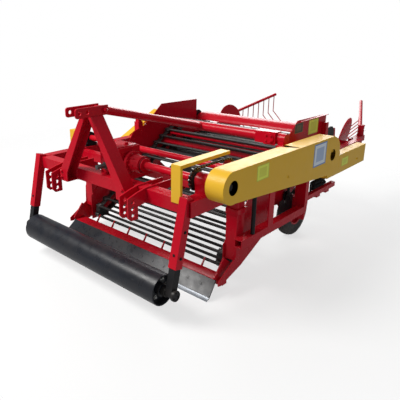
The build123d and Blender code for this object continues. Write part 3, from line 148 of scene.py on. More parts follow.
# ---- sizes and colours a user would change
class HarvesterPaint(bpy.types.PropertyGroup):
    red: FloatVectorProperty(
        name="Red", description="Enamel on the frame, panels and mast", subtype="COLOR", size=3,
        min=0, max=1, default=(0.56, 0.004, 0.018))
    yellow: FloatVectorProperty(
        name="Yellow", description="Enamel on the guards and chain cases", subtype="COLOR", size=3,
        min=0, max=1, default=(0.84, 0.49, 0.035))
    slate: FloatVectorProperty(
        name="Slate", description="Dark paint on the roller and blade", subtype="COLOR", size=3,
        min=0, max=1, default=(0.010, 0.012, 0.018))
    rubber: FloatVectorProperty(
        name="Rubber", description="Sleeves and belts of the webs", subtype="COLOR", size=3,
        min=0, max=1, default=(0.012, 0.0115, 0.0115))
    tyre: FloatVectorProperty(
        name="Tyre", description="Tyre rubber", subtype="COLOR", size=3,
        min=0, max=1, default=(0.018, 0.018, 0.019))
    steel: FloatVectorProperty(
        name="Steel", description="Bare machined steel", subtype="COLOR", size=3,
        min=0, max=1, default=(0.15, 0.145, 0.14))
    dust: FloatVectorProperty(
        name="Dust", description="Dry dust that gathers on the low parts", subtype="COLOR", size=3,
        min=0, max=1, default=(0.30, 0.24, 0.17))


class HarvesterSizes(bpy.types.PropertyGroup):
    edge: FloatProperty(
        name="Edge radius", description="Rounding of the steel edges", unit="LENGTH", default=0.0016, min=0)
    bolt: FloatProperty(
        name="Bolt", description="Across-flats radius of the common bolts", unit="LENGTH",
        default=0.0085, min=0.002)
    chain_pitch: FloatProperty(
        name="Chain pitch", description="Pin to pin distance of the drive chains", unit="LENGTH",
        default=0.0254, min=0.005)
    weld: FloatProperty(
        name="Weld bead", description="Radius of the weld beads", unit="LENGTH", default=0.0045, min=0.001)
    groove: FloatProperty(
        name="Tyre groove", description="Depth of the grooves between the tyre's ribs", unit="LENGTH",
        default=0.007, min=0.001, max=0.015)


class HarvesterStage(bpy.types.PropertyGroup):
    floor: FloatVectorProperty(
        name="Floor", description="Colour of the studio floor", subtype="COLOR", size=3,
        min=0, max=1, default=(0.92, 0.92, 0.92))
    key: FloatProperty(
        name="Key lamp", description="Strength of the main lamp", unit="POWER", default=490, min=0)
    fill: FloatProperty(
        name="Fill lamp", description="Strength of the fill lamp", unit="POWER", default=12, min=0)
    sheen: FloatProperty(
        name="Sheen lamp", description="Strength of the broad lamp behind", unit="POWER", default=240, min=0)
    sky: FloatProperty(
        name="Sky", description="Strength of the plain surroundings", default=0.30, min=0)


# ---- shader nodes
def wire(tree, node, values):
    """Gives each of a node's inputs a value or another node's output."""
    for key, value in values.items():
        if isinstance(value, bpy.types.NodeSocket):
            tree.links.new(value, node.inputs[key])
        else:
            node.inputs[key].default_value = value


def add(tree, kind, values, output=0, **settings):
    """Makes a node with its settings and inputs and gives back one of its outputs."""
    node = tree.nodes.new("ShaderNode" + kind)
    for key, value in settings.items():
        setattr(node, key, value)
    wire(tree, node, values)
    return node.outputs[output]


def object_coordinates(tree):
    return add(tree, "TexCoord", {}, "Object")


def band_of(tree, value, low, high, ends=(0.0, 1.0)):
    """One end below low, the other above high."""
    return add(tree, "MapRange", {
        "Value": value, "From Min": low, "From Max": high, "To Min": ends[0], "To Max": ends[1]})


def math_node(tree, operation, a, b=0.0, clamp=False):
    return add(tree, "Math", {0: a, 1: b}, operation=operation, use_clamp=clamp)


def product(tree, a, b, clamp=False):
    return math_node(tree, "MULTIPLY", a, b, clamp)


def noise(tree, vector, scale, detail=3.0, rough=0.55):
    values = {"Vector": vector, "Scale": scale, "Detail": detail, "Roughness": rough}
    return add(tree, "TexNoise", values, "Fac")


def mix_colour(tree, share, a, b):
    return add(tree, "Mix", {0: share, 6: a, 7: b}, 2, data_type="RGBA")


def bump(tree, height, strength, distance):
    return add(tree, "Bump", {"Height": height, "Strength": strength, "Distance": distance})


def place_group(tree, name, **values):
    """One of the shared groups, with its own values."""
    return add(tree, "Group", values, node_tree=GROUPS[name])


def rgba(colour, factor=1.0):
    return (colour[0] * factor, colour[1] * factor, colour[2] * factor, 1.0)


# ---- shared shader groups
def new_group(name, output, kind="NodeSocketFloat", **inputs):
    """Shared group with its sockets: its tree, the sockets it is given and the one it gives back."""
    tree = bpy.data.node_groups.new(name, "ShaderNodeTree")
    for label, value in inputs.items():
        socket_type = "NodeSocketColor" if isinstance(value, tuple) else "NodeSocketFloat"
        tree.interface.new_socket(label, in_out="INPUT", socket_type=socket_type).default_value = value
    tree.interface.new_socket(output, in_out="OUTPUT", socket_type=kind)
    GROUPS[name] = tree
    return tree, tree.nodes.new("NodeGroupInput").outputs, tree.nodes.new("NodeGroupOutput").inputs[0]


def dust_group():
    """Dust that is thicker near the ground and on upward faces."""
    tree, given, out = new_group("Settled dust", "Mask", Height=0.5, Amount=0.3, Scale=6.0)
    place = object_coordinates(tree)
    low = band_of(tree, add(tree, "SeparateXYZ", {0: place}, "Z"), given["Height"], 0.0)
    facing = add(tree, "SeparateXYZ", {0: add(tree, "NewGeometry", {}, "Normal")}, "Z")
    up = product(tree, band_of(tree, facing, 0.2, 1.0), 0.45)
    patches = band_of(tree, noise(tree, place, given["Scale"], 6.0, 0.65), 0.38, 0.72)
    total = product(tree, math_node(tree, "ADD", low, up, clamp=True), patches)
    tree.links.new(product(tree, total, given["Amount"], clamp=True), out)


def chips_group():
    """Small scattered chips and scratches in paint."""
    tree, given, out = new_group("Paint chips", "Mask", Scale=40.0, Amount=0.5)
    place = object_coordinates(tree)
    cells = {"Vector": place, "Scale": given["Scale"], "Randomness": 1.0}
    dots = band_of(tree, add(tree, "TexVoronoi", cells, "Distance"), 0.10, 0.06)
    where = band_of(tree, noise(tree, place, 3.2, 4.0), 0.60, 0.70)
    stretched = add(tree, "Mapping", {"Vector": place, "Scale": (1.0, 1.0, 14.0)})
    streaks = band_of(tree, noise(tree, stretched, 9.0, 2.0), 0.74, 0.78)
    total = math_node(tree, "MAXIMUM", product(tree, dots, where), product(tree, streaks, where))
    tree.links.new(product(tree, total, given["Amount"], clamp=True), out)


def tone_group():
    """Slow change of a colour over a surface."""
    tree, given, out = new_group(
        "Tone", "Color", "NodeSocketColor", Color=(0.5, 0.5, 0.5, 1), Shade=(0.3, 0.3, 0.3, 1),
        Scale=3.0, Amount=0.3)
    cloud = noise(tree, object_coordinates(tree), given["Scale"], 4.0, 0.6)
    share = product(tree, band_of(tree, cloud, 0.35, 0.75), given["Amount"])
    tree.links.new(mix_colour(tree, share, given["Color"], given["Shade"]), out)


def skin_group():
    """Fine waviness of sprayed or cast skin, as a height."""
    tree, given, out = new_group("Skin", "Height", Scale=180.0, Waves=12.0)
    place = object_coordinates(tree)
    fine = noise(tree, place, given["Scale"], 2.0, 0.5)
    slow = noise(tree, place, given["Waves"], 2.0, 0.5)
    tree.links.new(math_node(tree, "ADD", product(tree, fine, 0.3), slow), out)


# ---- finishes
def new_material(name):
    material = bpy.data.materials.new(name)
    material.use_nodes = True
    MATERIALS[name] = material
    return material.node_tree, material.node_tree.nodes["Principled BSDF"]


def enamel(name, colour, shade, dust, chip, dusty=0.12, chips=0.4, rough=(0.18, 0.30), specular=0.16):
    """Sprayed gloss paint with a little dust low down and a few chips."""
    tree, shader = new_material(name)
    base = place_group(tree, "Tone", Color=rgba(colour), Shade=rgba(colour, shade), Scale=2.6, Amount=0.55)
    chipped = place_group(tree, "Paint chips", Scale=55.0, Amount=chips)
    dusted = place_group(tree, "Settled dust", Height=0.5, Amount=dusty, Scale=7.0)
    base = mix_colour(tree, chipped, base, rgba(chip))
    gloss = band_of(tree, noise(tree, object_coordinates(tree), 18.0, 4.0), 0.3, 0.7, rough)
    wire(tree, shader, {
        "Base Color": mix_colour(tree, dusted, base, rgba(dust)),
        "Roughness": math_node(tree, "ADD", gloss, product(tree, dusted, 0.45), clamp=True),
        "Specular IOR Level": specular,
        "Coat Weight": math_node(tree, "SUBTRACT", 0.04, dusted, clamp=True),
        "Coat Roughness": 0.10,
        "Normal": bump(tree, place_group(tree, "Skin", Scale=190.0, Waves=14.0), 0.18, 0.0012)})


def rubber_like(name, colour, dust, dusty, height, grain, rough):
    """Dull rubber, dusty up to a height."""
    tree, shader = new_material(name)
    base = place_group(tree, "Tone", Color=rgba(colour), Shade=rgba(colour, 1.9), Scale=9.0, Amount=0.7)
    dusted = place_group(tree, "Settled dust", Height=height, Amount=dusty, Scale=16.0)
    cloud = noise(tree, object_coordinates(tree), 40.0)
    wire(tree, shader, {
        "Base Color": mix_colour(tree, dusted, base, rgba(dust)),
        "Roughness": band_of(tree, cloud, 0.3, 0.7, rough),
        "Normal": bump(tree, place_group(tree, "Skin", Scale=grain, Waves=40.0), 0.35, 0.0012)})


def metal_like(name, colour, shade, rough, metallic, brushing=(1.0, 60.0, 60.0), stain=None):
    """Bare or oiled steel with fine marks across it."""
    tree, shader = new_material(name)
    place = object_coordinates(tree)
    base = place_group(tree, "Tone", Color=rgba(colour), Shade=rgba(colour, shade), Scale=14.0, Amount=0.8)
    if stain:
        patches = band_of(tree, noise(tree, place, 22.0, 5.0, 0.7), 0.52, 0.68)
        base = mix_colour(tree, product(tree, patches, 0.55), base, rgba(stain))
    lines = noise(tree, add(tree, "Mapping", {"Vector": place, "Scale": brushing}), 9.0, 2.0)
    wire(tree, shader, {
        "Base Color": base, "Metallic": metallic,
        "Roughness": band_of(tree, lines, 0.3, 0.7, rough),
        "Normal": bump(tree, lines, 0.12, 0.0006)})


def plain_plate(name, field, mark):
    """Blank printed plate: a plain field, a border and one soft square, read from its own UV map."""
    tree, shader = new_material(name)
    place = add(tree, "TexCoord", {}, "UV")
    shifts = [math_node(tree, "SUBTRACT", add(tree, "SeparateXYZ", {0: place}, axis), 0.5) for axis in "XY"]
    outward = math_node(tree, "MAXIMUM", *[math_node(tree, "ABSOLUTE", shift) for shift in shifts])
    square = product(tree, band_of(tree, outward, 0.31, 0.29), 0.55)
    marks = math_node(tree, "MAXIMUM", band_of(tree, outward, 0.435, 0.450), square)
    cloud = noise(tree, object_coordinates(tree), 30.0)
    faded = mix_colour(tree, product(tree, cloud, 0.25), rgba(field), rgba(field, 0.7))
    wire(tree, shader, {
        "Base Color": mix_colour(tree, marks, faded, rgba(mark)),
        "Roughness": math_node(tree, "ADD", 0.34, product(tree, cloud, 0.2))})


def make_materials(paint):
    """All finishes, by the record's slot where they have one."""
    for make_group in (dust_group, chips_group, tone_group, skin_group):
        make_group()
    enamel("red_paint", paint.red, 0.72, paint.dust, (0.10, 0.030, 0.025), dusty=0.07)
    enamel("yellow_paint", paint.yellow, 0.90, paint.dust, (0.34, 0.22, 0.10), dusty=0.04, chips=0.3,
           rough=(0.30, 0.42))
    enamel("worn_steel", paint.slate, 1.8, paint.dust, (0.10, 0.10, 0.11), dusty=0.07, chips=0.6,
           rough=(0.24, 0.36), specular=0.32)
    enamel("black_paint", (0.012, 0.012, 0.014), 1.8, paint.dust, (0.10, 0.09, 0.08), rough=(0.30, 0.46))
    rubber_like("rubber", paint.rubber, paint.dust, 0.035, 1.2, 260.0, (0.36, 0.54))
    rubber_like("tyre", paint.tyre, paint.dust, 0.30, 0.45, 220.0, (0.60, 0.80))
    metal_like("bare_steel", paint.steel, 0.55, (0.34, 0.56), 0.75, stain=(0.08, 0.06, 0.045))
    metal_like("chain_steel", (0.030, 0.028, 0.026), 2.2, (0.32, 0.55), 0.75, (20.0, 20.0, 20.0),
               (0.06, 0.04, 0.025))
    metal_like("zinc", (0.55, 0.55, 0.53), 0.72, (0.24, 0.42), 0.95, (25.0, 25.0, 25.0))
    metal_like("ground_edge", (0.60, 0.64, 0.70), 0.80, (0.24, 0.40), 0.85, (1.0, 50.0, 50.0))
    plain_plate("label_yellow", (0.88, 0.94, 0.09), (0.62, 0.60, 0.04))
    plain_plate("label_blue", (0.80, 0.86, 0.92), (0.12, 0.26, 0.55))
    plain_plate("label_dark", (0.03, 0.03, 0.03), (0.20, 0.17, 0.05))


# ---- shaping
def turned(direction, start=(0, 0, 0)):
    """Matrix that stands +Z along a direction at a place."""
    spin = Z.rotation_difference(Vector(direction).normalized()).to_matrix().to_4x4()
    return Matrix.Translation(Vector(start)) @ spin


def spread(count, first=0.0):
    """Angles that share out a full turn."""
    return [first + FULL_TURN * index / count for index in range(count)]


def circle(centre, axis, radius, angles):
    """Places round a centre at some angles, in the plane across one of the main axes."""
    side, rise = [other for other in (X, Y, Z) if other != axis]
    return [Vector(centre) + (side * math.cos(angle) + rise * math.sin(angle)) * radius for angle in angles]


def new_verts(items):
    return [item for item in items if isinstance(item, bmesh.types.BMVert)]


def add_cone(bm, start, direction, length, r1, r2=None, segments=24, twist=0.0):
    """Round or many-sided bar from a place along a direction."""
    place = turned(direction, start) @ Matrix.Translation((0, 0, length / 2)) @ Matrix.Rotation(twist, 4, "Z")
    bmesh.ops.create_cone(bm, cap_ends=True, cap_tris=False, segments=segments, radius1=r1,
                          radius2=r1 if r2 is None else r2, depth=length, matrix=place)


def spin_profile(bm, corners, centre, axis, steps):
    """Turns a closed outline right round an axis."""
    verts = [bm.verts.new(corner) for corner in corners]
    edges = [bm.edges.new((a, b)) for a, b in zip(verts, verts[1:] + verts[:1])]
    bmesh.ops.spin(bm, geom=verts + edges, cent=centre, axis=axis, angle=FULL_TURN, steps=steps,
                   use_merge=True)


def add_ring(bm, start, direction, length, outer, inner, segments=32):
    """Flat or deep ring: an annulus spun from a rectangle."""
    place = turned(direction, start)
    corners = [(inner, 0, 0), (outer, 0, 0), (outer, 0, length), (inner, 0, length)]
    spin_profile(bm, [place @ Vector(corner) for corner in corners], place.translation,
                 place.to_3x3() @ Z, segments)


def add_block(bm, lo, hi, bevel=0.0, place=None):
    """Box between two corners, its edges rounded."""
    lo, hi = Vector(lo), Vector(hi)
    matrix = Matrix.Translation((lo + hi) / 2) @ Matrix.Diagonal((*(hi - lo), 1.0))
    made = bmesh.ops.create_cube(bm, size=1.0, matrix=(place or Matrix()) @ matrix)
    if bevel:
        edges = list({edge for vert in made["verts"] for edge in vert.link_edges})
        bmesh.ops.bevel(bm, geom=edges, offset=bevel, segments=2, profile=0.5, affect="EDGES", material=-1)


def add_bolt(bm, place, direction, radius, stud=0.0):
    """Hexagon head with its washer and, where it stands through, a stud end; its place sets its turn."""
    direction, place = Vector(direction).normalized(), Vector(place)
    washer, prism, chamfer = radius * 0.22, radius, radius * 0.25
    washer_r, corner_r, crown_r = radius * 1.75, radius * 1.12, radius * 0.82
    twist = (place.x * 7.1 + place.y * 3.3 + place.z * 5.7) % 1.0
    above_washer = place + direction * washer
    above_prism = above_washer + direction * prism
    add_cone(bm, place, direction, washer, washer_r, segments=20)
    add_cone(bm, above_washer, direction, prism, corner_r, segments=6, twist=twist)
    add_cone(bm, above_prism, direction, chamfer, corner_r, crown_r, segments=6, twist=twist)
    if stud:
        top = above_prism + direction * chamfer
        add_cone(bm, top, direction, stud, radius * 0.62, radius * 0.54, segments=12)


def add_drop(bm, place, radius):
    bmesh.ops.create_icosphere(bm, subdivisions=1, radius=radius, matrix=Matrix.Translation(place))


def add_weld(bm, start, end, radius):
    """Ripple of small overlapping drops along a line."""
    start, end = Vector(start), Vector(end)
    count = max(2, int((end - start).length / (radius * 1.3)))
    for index in range(count + 1):
        add_drop(bm, start.lerp(end, index / count), radius)


def add_weld_ring(bm, centre, axis, radius, bead):
    """Weld bead round a tube."""
    count = max(12, int(FULL_TURN * radius / (bead * 1.3)))
    for spot in circle((0, 0, 0), Z, radius, spread(count)):
        add_drop(bm, turned(axis, centre) @ spot, bead)


def mirrored_copy(bm):
    """Adds the other hand of everything made so far."""
    made = bmesh.ops.duplicate(bm, geom=bm.verts[:] + bm.edges[:] + bm.faces[:])["geom"]
    flip = Matrix.Translation((2 * MIDDLE_X, 0, 0)) @ Matrix.Diagonal((-1, 1, 1, 1))
    bmesh.ops.transform(bm, matrix=flip, verts=new_verts(made))
    bmesh.ops.reverse_faces(bm, faces=[item for item in made if isinstance(item, bmesh.types.BMFace)])


def new_object(name, bm, finish):
    """Object made of a bmesh, in one finish."""
    mesh = bpy.data.meshes.new(name)
    bm.to_mesh(mesh)
    bm.free()
    mesh.materials.append(MATERIALS[finish])
    made = bpy.data.objects.new(name, mesh)
    bpy.context.scene.collection.objects.link(made)
    return made


def finish_piece(name, bm, finish, body="frame", *replaced):
    """Turns a bmesh into a piece that rides on a body, in place of some nodes where they are named."""
    bmesh.ops.recalc_face_normals(bm, faces=bm.faces)
    for face in bm.faces:
        face.smooth = True
    for edge in bm.edges:
        edge.smooth = len(edge.link_faces) == 2 and edge.calc_face_angle(math.pi) < SMOOTH_BELOW
    piece = new_object(name, bm, finish)
    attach(piece, body)
    if replaced:
        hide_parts(*replaced)


# ---- places read from the frame
PILLOW_WIDTH = 0.03
BEARINGS = [s for s in solids("shaft_bearings") if s.size.x < PILLOW_WIDTH]
PILLOWS = [s for s in solids("shaft_bearings") if s.size.x >= PILLOW_WIDTH]
DRIVE = span("drive_tube").mid
JACK = span("jackshaft").mid
SHAKER = solids("web_support_rollers")[0].mid
CASE_REAR = span("front_web_drive_shaft").mid
JOINTS = {joint["name"]: joint for joint in frame["joints"]}
ARM_UP = -Vector(JOINTS["roller_slide"]["axis"])
ARM_FRONT = Vector((0, -ARM_UP.z, ARM_UP.y))
ARM_FOOT = span("roller_axle").mid
OUTWARD = {"left": 1, "right": -1}


def on_arm(height, forward=0.0):
    """Place on the left arm's outer face at a height, some way in front of its middle line."""
    place = ARM_FOOT + ARM_UP * ((height - ARM_FOOT.z) / ARM_UP.z) + ARM_FRONT * forward
    return at_x(span("roller_arms").hi.x, place)


def loop_path(front, rear, front_r, rear_r, pitch):
    """Evenly spaced places round a chain's line."""
    reach = rear - front
    length = math.hypot(reach.y, reach.z)
    heading = math.atan2(reach.z, reach.y)
    spread_angle = math.acos((front_r - rear_r) / length)
    straight = math.sqrt(length ** 2 - (rear_r - front_r) ** 2)
    rear_arc = rear_r * 2 * spread_angle
    front_arc = front_r * (FULL_TURN - 2 * spread_angle)
    total = 2 * straight + rear_arc + front_arc
    count = 2 * round(total / pitch / 2)
    places = []
    for index in range(count):
        gone = total * index / count
        lower = gone - straight - rear_arc
        if gone < straight or 0 <= lower < straight:
            upper = gone < straight
            share = gone / straight if upper else 1 - lower / straight
            angle = heading + (spread_angle if upper else -spread_angle)
            radius, centre = front_r + (rear_r - front_r) * share, front + reach * share
        elif lower < 0:
            angle, radius, centre = heading + spread_angle - (gone - straight) / rear_r, rear_r, rear
        else:
            angle, radius, centre = heading - spread_angle - (lower - straight) / front_r, front_r, front
        places += circle(at_x(0, centre), X, radius, [angle])
    return places


# ---- carried-over steelwork
def add_modifier(obj, name, kind, **settings):
    modifier = obj.modifiers.new(name, kind)
    for key, value in settings.items():
        setattr(modifier, key, value)


def dress_cad(edge):
    """Finish, smooth faces and rounded edges on each part that comes from the frame."""
    for node, obj in NODES.items():
        mesh = obj.data
        mesh.materials.clear()
        mesh.materials.append(MATERIALS[FINISH_OF[node]])
        if mesh.has_custom_normals:
            mesh.attributes.remove(mesh.attributes["custom_normal"])
        mesh.polygons.foreach_set("use_smooth", [True] * len(mesh.polygons))
        add_modifier(obj, "Weld", "WELD", merge_threshold=SAME_PLACE)
        add_modifier(obj, "Flat faces", "DECIMATE", decimate_type="DISSOLVE", angle_limit=math.radians(0.5))
        add_modifier(obj, "Edges", "BEVEL", width=edge, segments=2, limit_method="ANGLE",
                     angle_limit=SMOOTH_BELOW, harden_normals=True, use_clamp_overlap=False)


def paint_faces(node, finish, wanted):
    """Gives the faces that a test picks out a finish of their own."""
    mesh = NODES[node].data
    mesh.materials.append(MATERIALS[finish])
    for polygon in mesh.polygons:
        if wanted(polygon):
            polygon.material_index = len(mesh.materials) - 1


def two_tone_parts():
    """Parts with two finishes: bare blade edge, black axle caps, red support tubes, and black on the chain case's
    inner wall and the shafts inside it, which is painted shade.
    """
    blade, axle, case = span("digging_blade"), span("roller_axle"), span("main_chain_case")
    bevel_end = blade.lo.y + blade.size.y * 0.27
    cap_start = axle.size.x / 2 - 0.0141
    tube_end = span("web_cross_members").size.x / 2 - 0.0745
    tube_reach, level, sideways, outward, smallest = 0.019, 0.97, 0.2, 0.9, 1e-4
    tubes = sorted(solids("web_support_rollers"), key=lambda s: s.mid.z)[4:]

    def on_edge(face):
        ground = face.center.y < bevel_end and face.area > smallest and abs(face.normal.x) < sideways
        return face.normal.z > level or (face.normal.z > 0 and ground)

    def on_tube(face):
        inside = abs(face.center.x - MIDDLE_X) < tube_end
        return inside and any((face.center - tube.mid).yz.length < tube_reach for tube in tubes)

    paint_faces("digging_blade", "ground_edge", on_edge)
    paint_faces("roller_axle", "black_paint", lambda face: abs(face.center.x - axle.mid.x) > cap_start)
    # Painted shade: the chain case's inner wall and the shafts inside the case get black paint, so the case's hole
    # reads dark.
    paint_faces("main_chain_case", "black_paint",
                lambda face: face.normal.x > outward and face.center.x < case.mid.x)
    for shaft in ("drive_shaft", "front_web_drive_shaft"):
        paint_faces(shaft, "black_paint", lambda face: face.center.x > case.lo.x)
    paint_faces("web_support_rollers", "red_paint", on_tube)


# ---- fasteners
def bolt_circle(bm, centre, direction, reach, angles, radius):
    """Bolts round a centre, standing along one of the main axes."""
    for spot in circle(centre, Vector([abs(part) for part in direction]), reach, angles):
        add_bolt(bm, spot, direction, radius)


def bearing_bolts(bm, radius):
    """Four bolts in the flange of each shaft bearing."""
    bolt_reach, first = 0.029, 0.19 * math.pi
    for bearing in BEARINGS:
        out = 1 if bearing.mid.x > MIDDLE_X else -1
        face = bearing.hi.x if out > 0 else bearing.lo.x
        bolt_circle(bm, at_x(face, bearing.mid), X * out, bolt_reach, spread(4, first), radius * 0.6)


def pillow_bolts(bm, radius):
    """A bolt with its stud end on each side of a pillow block."""
    foot_top, bolt_reach, stud = span("side_beams").hi.z + 0.026, 0.051, 0.006
    for pillow in PILLOWS:
        for way in (-1, 1):
            add_bolt(bm, (pillow.mid.x, pillow.mid.y + way * bolt_reach, foot_top), Z, radius, stud)


def arm_bolts(bm, radius):
    """Bolts that hold the carrier tubes in the arms."""
    low, half_arm, front_height = span("roller_arms").lo.z, 0.031, 0.09
    for height in (0.075, 0.235):
        for spot, way in zip(both_hands(on_arm(low + height)), (X, -X)):
            add_bolt(bm, spot, way, radius * 0.7)
    for spot in both_hands(on_arm(low + front_height, half_arm) - X * half_arm):
        add_bolt(bm, spot, ARM_FRONT, radius * 0.6)


def blade_bolts(bm, radius):
    """Low heads of the plough bolts along the blade's top face."""
    count, end_gap, back, above = 13, 0.111, 0.100, 0.0098
    thickness, head, socket = 0.0072, 0.0022, 0.0014
    blade = span("digging_blade")
    rise = math.atan2(blade.size.z - thickness, blade.size.y)
    up, along = Vector((0, -math.sin(rise), math.cos(rise))), Vector((0, math.cos(rise), math.sin(rise)))
    for index in range(count):
        place = Vector((0, blade.lo.y, blade.lo.z)) + along * back + up * above
        place.x = blade.lo.x + end_gap + index * (blade.size.x - 2 * end_gap) / (count - 1)
        add_cone(bm, place, up, head, radius * 1.35, radius * 1.15, segments=20)
        add_cone(bm, place + up * head, up, socket, radius * 0.55, segments=6)


def mast_bolts(bm, radius):
    """Pins of the brace's front end and the bolts of the mast's feet."""
    mast = span("mast")
    for place in both_hands((mast.hi.x - 0.026, mast.lo.y + 0.126, mast.lo.z + 0.03)):
        for rise in (0, 0.045):
            add_bolt(bm, place + Z * rise, -Y, radius)
    half_head, inset = 0.057, 0.033
    for way in (-1, 1):
        spot = (MIDDLE_X + way * half_head, mast.hi.y - inset, mast.hi.z - inset)
        add_bolt(bm, spot, X * way, radius * 1.7)


def gearbox_bolts(bm, radius):
    """Rings of bolts on the side housing's flange, the plain end and the input's neck."""
    box, pto = span("gearbox"), span("pto_stub").mid
    flange, neck = box.hi.x - 0.104, box.lo.y + 0.040
    flange_reach, end_reach, neck_reach = 0.072, 0.048, 0.071
    eight, six = spread(8, math.pi / 8), spread(6, math.pi / 6)
    bolt_circle(bm, at_x(flange, DRIVE), X, flange_reach, eight, radius * 0.70)
    bolt_circle(bm, at_x(box.lo.x, DRIVE), -X, end_reach, eight, radius * 0.75)
    bolt_circle(bm, (pto.x, neck, pto.z), -Y, neck_reach, six, radius * 0.8)
    filler = (pto.x + 0.05, box.mid.y + 0.04, box.hi.z + 0.006)
    add_bolt(bm, filler, Z, radius * 1.4)


def case_screws(bm, radius):
    """Sockets in the heads of the chain cases' cover screws."""
    depth = 0.0006
    for node in ("main_chain_case", "rear_chain_case"):
        for head in end_centres(node):
            add_cone(bm, head - X * depth, X, depth, radius * 0.5, segments=6)


def panel_bolts(bm, radius):
    """Bolts that join the web's side panels to the posts and ties behind them."""
    inner = span("web_cross_members").hi.x
    post, hood, arm = span("panel_posts"), span("rear_hood"), span("rear_arms")
    spots = [(post.mid.y, post.lo.z + 0.02), (post.mid.y, post.lo.z + 0.05), (hood.mid.y, hood.lo.z - 0.02),
             (hood.mid.y - 0.12, arm.mid.z), (arm.lo.y + 0.70, arm.mid.z)]
    for y, z in spots:
        for place, way in zip(both_hands((inner, y, z)), (-1, 1)):
            add_bolt(bm, place, X * way, radius * 0.75)


def clamp_bolts(bm, radius):
    """Bolts of the cross tube's flange and of the guides' pivots."""
    flange, bolt_reach, behind, below = front_face("cross_tube"), 0.029, 0.018, 0.068
    centre = (flange.mid.x, flange.lo.y, flange.mid.z)
    bolt_circle(bm, centre, -Y, bolt_reach, spread(4, math.pi / 4), radius * 0.8)
    for pivot in solids("guide_pivots"):
        add_bolt(bm, (pivot.mid.x, pivot.lo.y + behind, pivot.hi.z - below), Z, radius * 0.8)


def make_fasteners(radius):
    painted = (bearing_bolts, mast_bolts, gearbox_bolts, panel_bolts, clamp_bolts)
    for name, finish, builds in (
            ("painted_bolts", "red_paint", painted),
            ("plated_bolts", "zinc", (pillow_bolts,)),
            ("arm_bolts", "black_paint", (arm_bolts,)),
            ("blade_bolts", "worn_steel", (blade_bolts,)),
            ("cover_screw_sockets", "black_paint", (case_screws,))):
        bm = bmesh.new()
        for build in builds:
            build(bm, radius)
        finish_piece(name, bm, finish)
    dish_reach, bolt_reach = 0.019, 0.066
    for side, out in OUTWARD.items():
        hub = span("rim_" + side).mid
        bm = bmesh.new()
        bolt_circle(bm, hub + X * out * dish_reach, X * out, bolt_reach, spread(6), radius)
        finish_piece("wheel_" + side + "_bolts", bm, "zinc", "wheel_" + side)


# ---- chains
CHAIN_DEPTH = 0.014


def add_link(bm, start, end, plate_x, height, thickness, x):
    """One link: a pair of rounded plates from pin to pin."""
    along = end - start
    tilt = Matrix.Rotation(math.atan2(along.z, along.y), 4, "X")
    corner = Vector((thickness * 0.46, along.length / 2, height * 0.36))
    for way in (-1, 1):
        place = Matrix.Translation(at_x(x + way * plate_x, (start + end) / 2)) @ tilt
        for pin in (-1, 1):
            eye = Matrix.Translation((0, pin * along.length / 2, 0)) @ Matrix.Rotation(math.pi / 2, 4, "Y")
            bmesh.ops.create_cone(bm, cap_ends=True, segments=12, radius1=height / 2, radius2=height / 2,
                                  depth=thickness, matrix=place @ eye)
        add_block(bm, -corner, corner, place=place)


def add_chain(plates, rollers, strand, front, rear, pitch, height):
    """Roller chain along the line of a band that the frame gives; gives back the radii at its ends."""
    half, x = strand.size.x / 2, strand.mid.x
    front_r = front.y - strand.lo.y - CHAIN_DEPTH / 2
    rear_r = strand.hi.y - rear.y - CHAIN_DEPTH / 2
    pins = loop_path(front, rear, front_r, rear_r, pitch)
    for index, pin in enumerate(pins):
        plate_x = half * (0.42 if index % 2 else 0.72)
        add_link(plates, pin, pins[(index + 1) % len(pins)], plate_x, height, half * 0.24, x)
        for reach, thick, segments in ((0.98, 0.20, 10), (0.36, 0.40, 12)):
            add_cone(rollers, at_x(x - half * reach, pin), X, half * 2 * reach, height * thick,
                     segments=segments)
    return front_r, rear_r


def add_teeth(bm, centre, x, line_r, pitch):
    """Teeth of a chain wheel, standing up between the rollers."""
    for out in circle((0, 0, 0), X, 1.0, spread(round(FULL_TURN * line_r / pitch))):
        place = turned(out, at_x(x, centre) + out * (line_r - CHAIN_DEPTH * 0.62))
        bmesh.ops.create_cone(bm, cap_ends=True, segments=8, radius1=pitch * 0.40, radius2=pitch * 0.15,
                              depth=CHAIN_DEPTH * 0.9, matrix=place @ Matrix.Diagonal((0.55, 1, 1, 1)))


def make_chains(pitch):
    plates, rollers, teeth = bmesh.new(), bmesh.new(), bmesh.new()
    right, inner, cased = solids("drive_chains")
    for strand, front, rear, height, pins in (
            (right, JACK, SHAKER, 0.014, rollers), (inner, DRIVE, JACK, 0.019, rollers),
            (cased, DRIVE, CASE_REAR, 0.014, plates)):
        radii = add_chain(plates, pins, strand, front, rear, pitch, height)
        for centre, radius in zip((front, rear), radii):
            add_teeth(teeth, centre, strand.mid.x, radius, pitch)
    finish_piece("roller_chains", plates, "chain_steel", "frame", "drive_chains")
    finish_piece("chain_rollers", rollers, "zinc")
    finish_piece("chain_wheel_teeth", teeth, "chain_steel")


# ---- wheels
def tyre_half(bead, out, half, groove):
    """Outline of half a ribbed tyre, tread to inside, as (radius, distance from the tyre's middle)."""
    tread = [(out - groove, 0.0), (out - groove, 0.0035), (out - 0.0006, 0.0045), (out - 0.0012, 0.0150),
             (out - groove, 0.0160), (out - groove, 0.0215), (out - 0.0030, 0.0225)]
    wall = [(out - 0.0065, half - 0.0180), (out - 0.0140, half - 0.0090), (out - 0.0300, half - 0.0030),
            (out - 0.0520, half - 0.0004), (out - 0.0600, half - 0.0004), (out - 0.0620, half - 0.0020),
            (bead + 0.0240, half - 0.0030), (bead + 0.0120, half - 0.0075), (bead + 0.0060, half - 0.0075)]
    inside = [(bead, half - 0.0100), (bead, half - 0.0180), (out - 0.0520, half - 0.0100),
              (out - 0.0200, half - 0.0200), (out - 0.0200, 0.0)]
    return tread + wall + inside


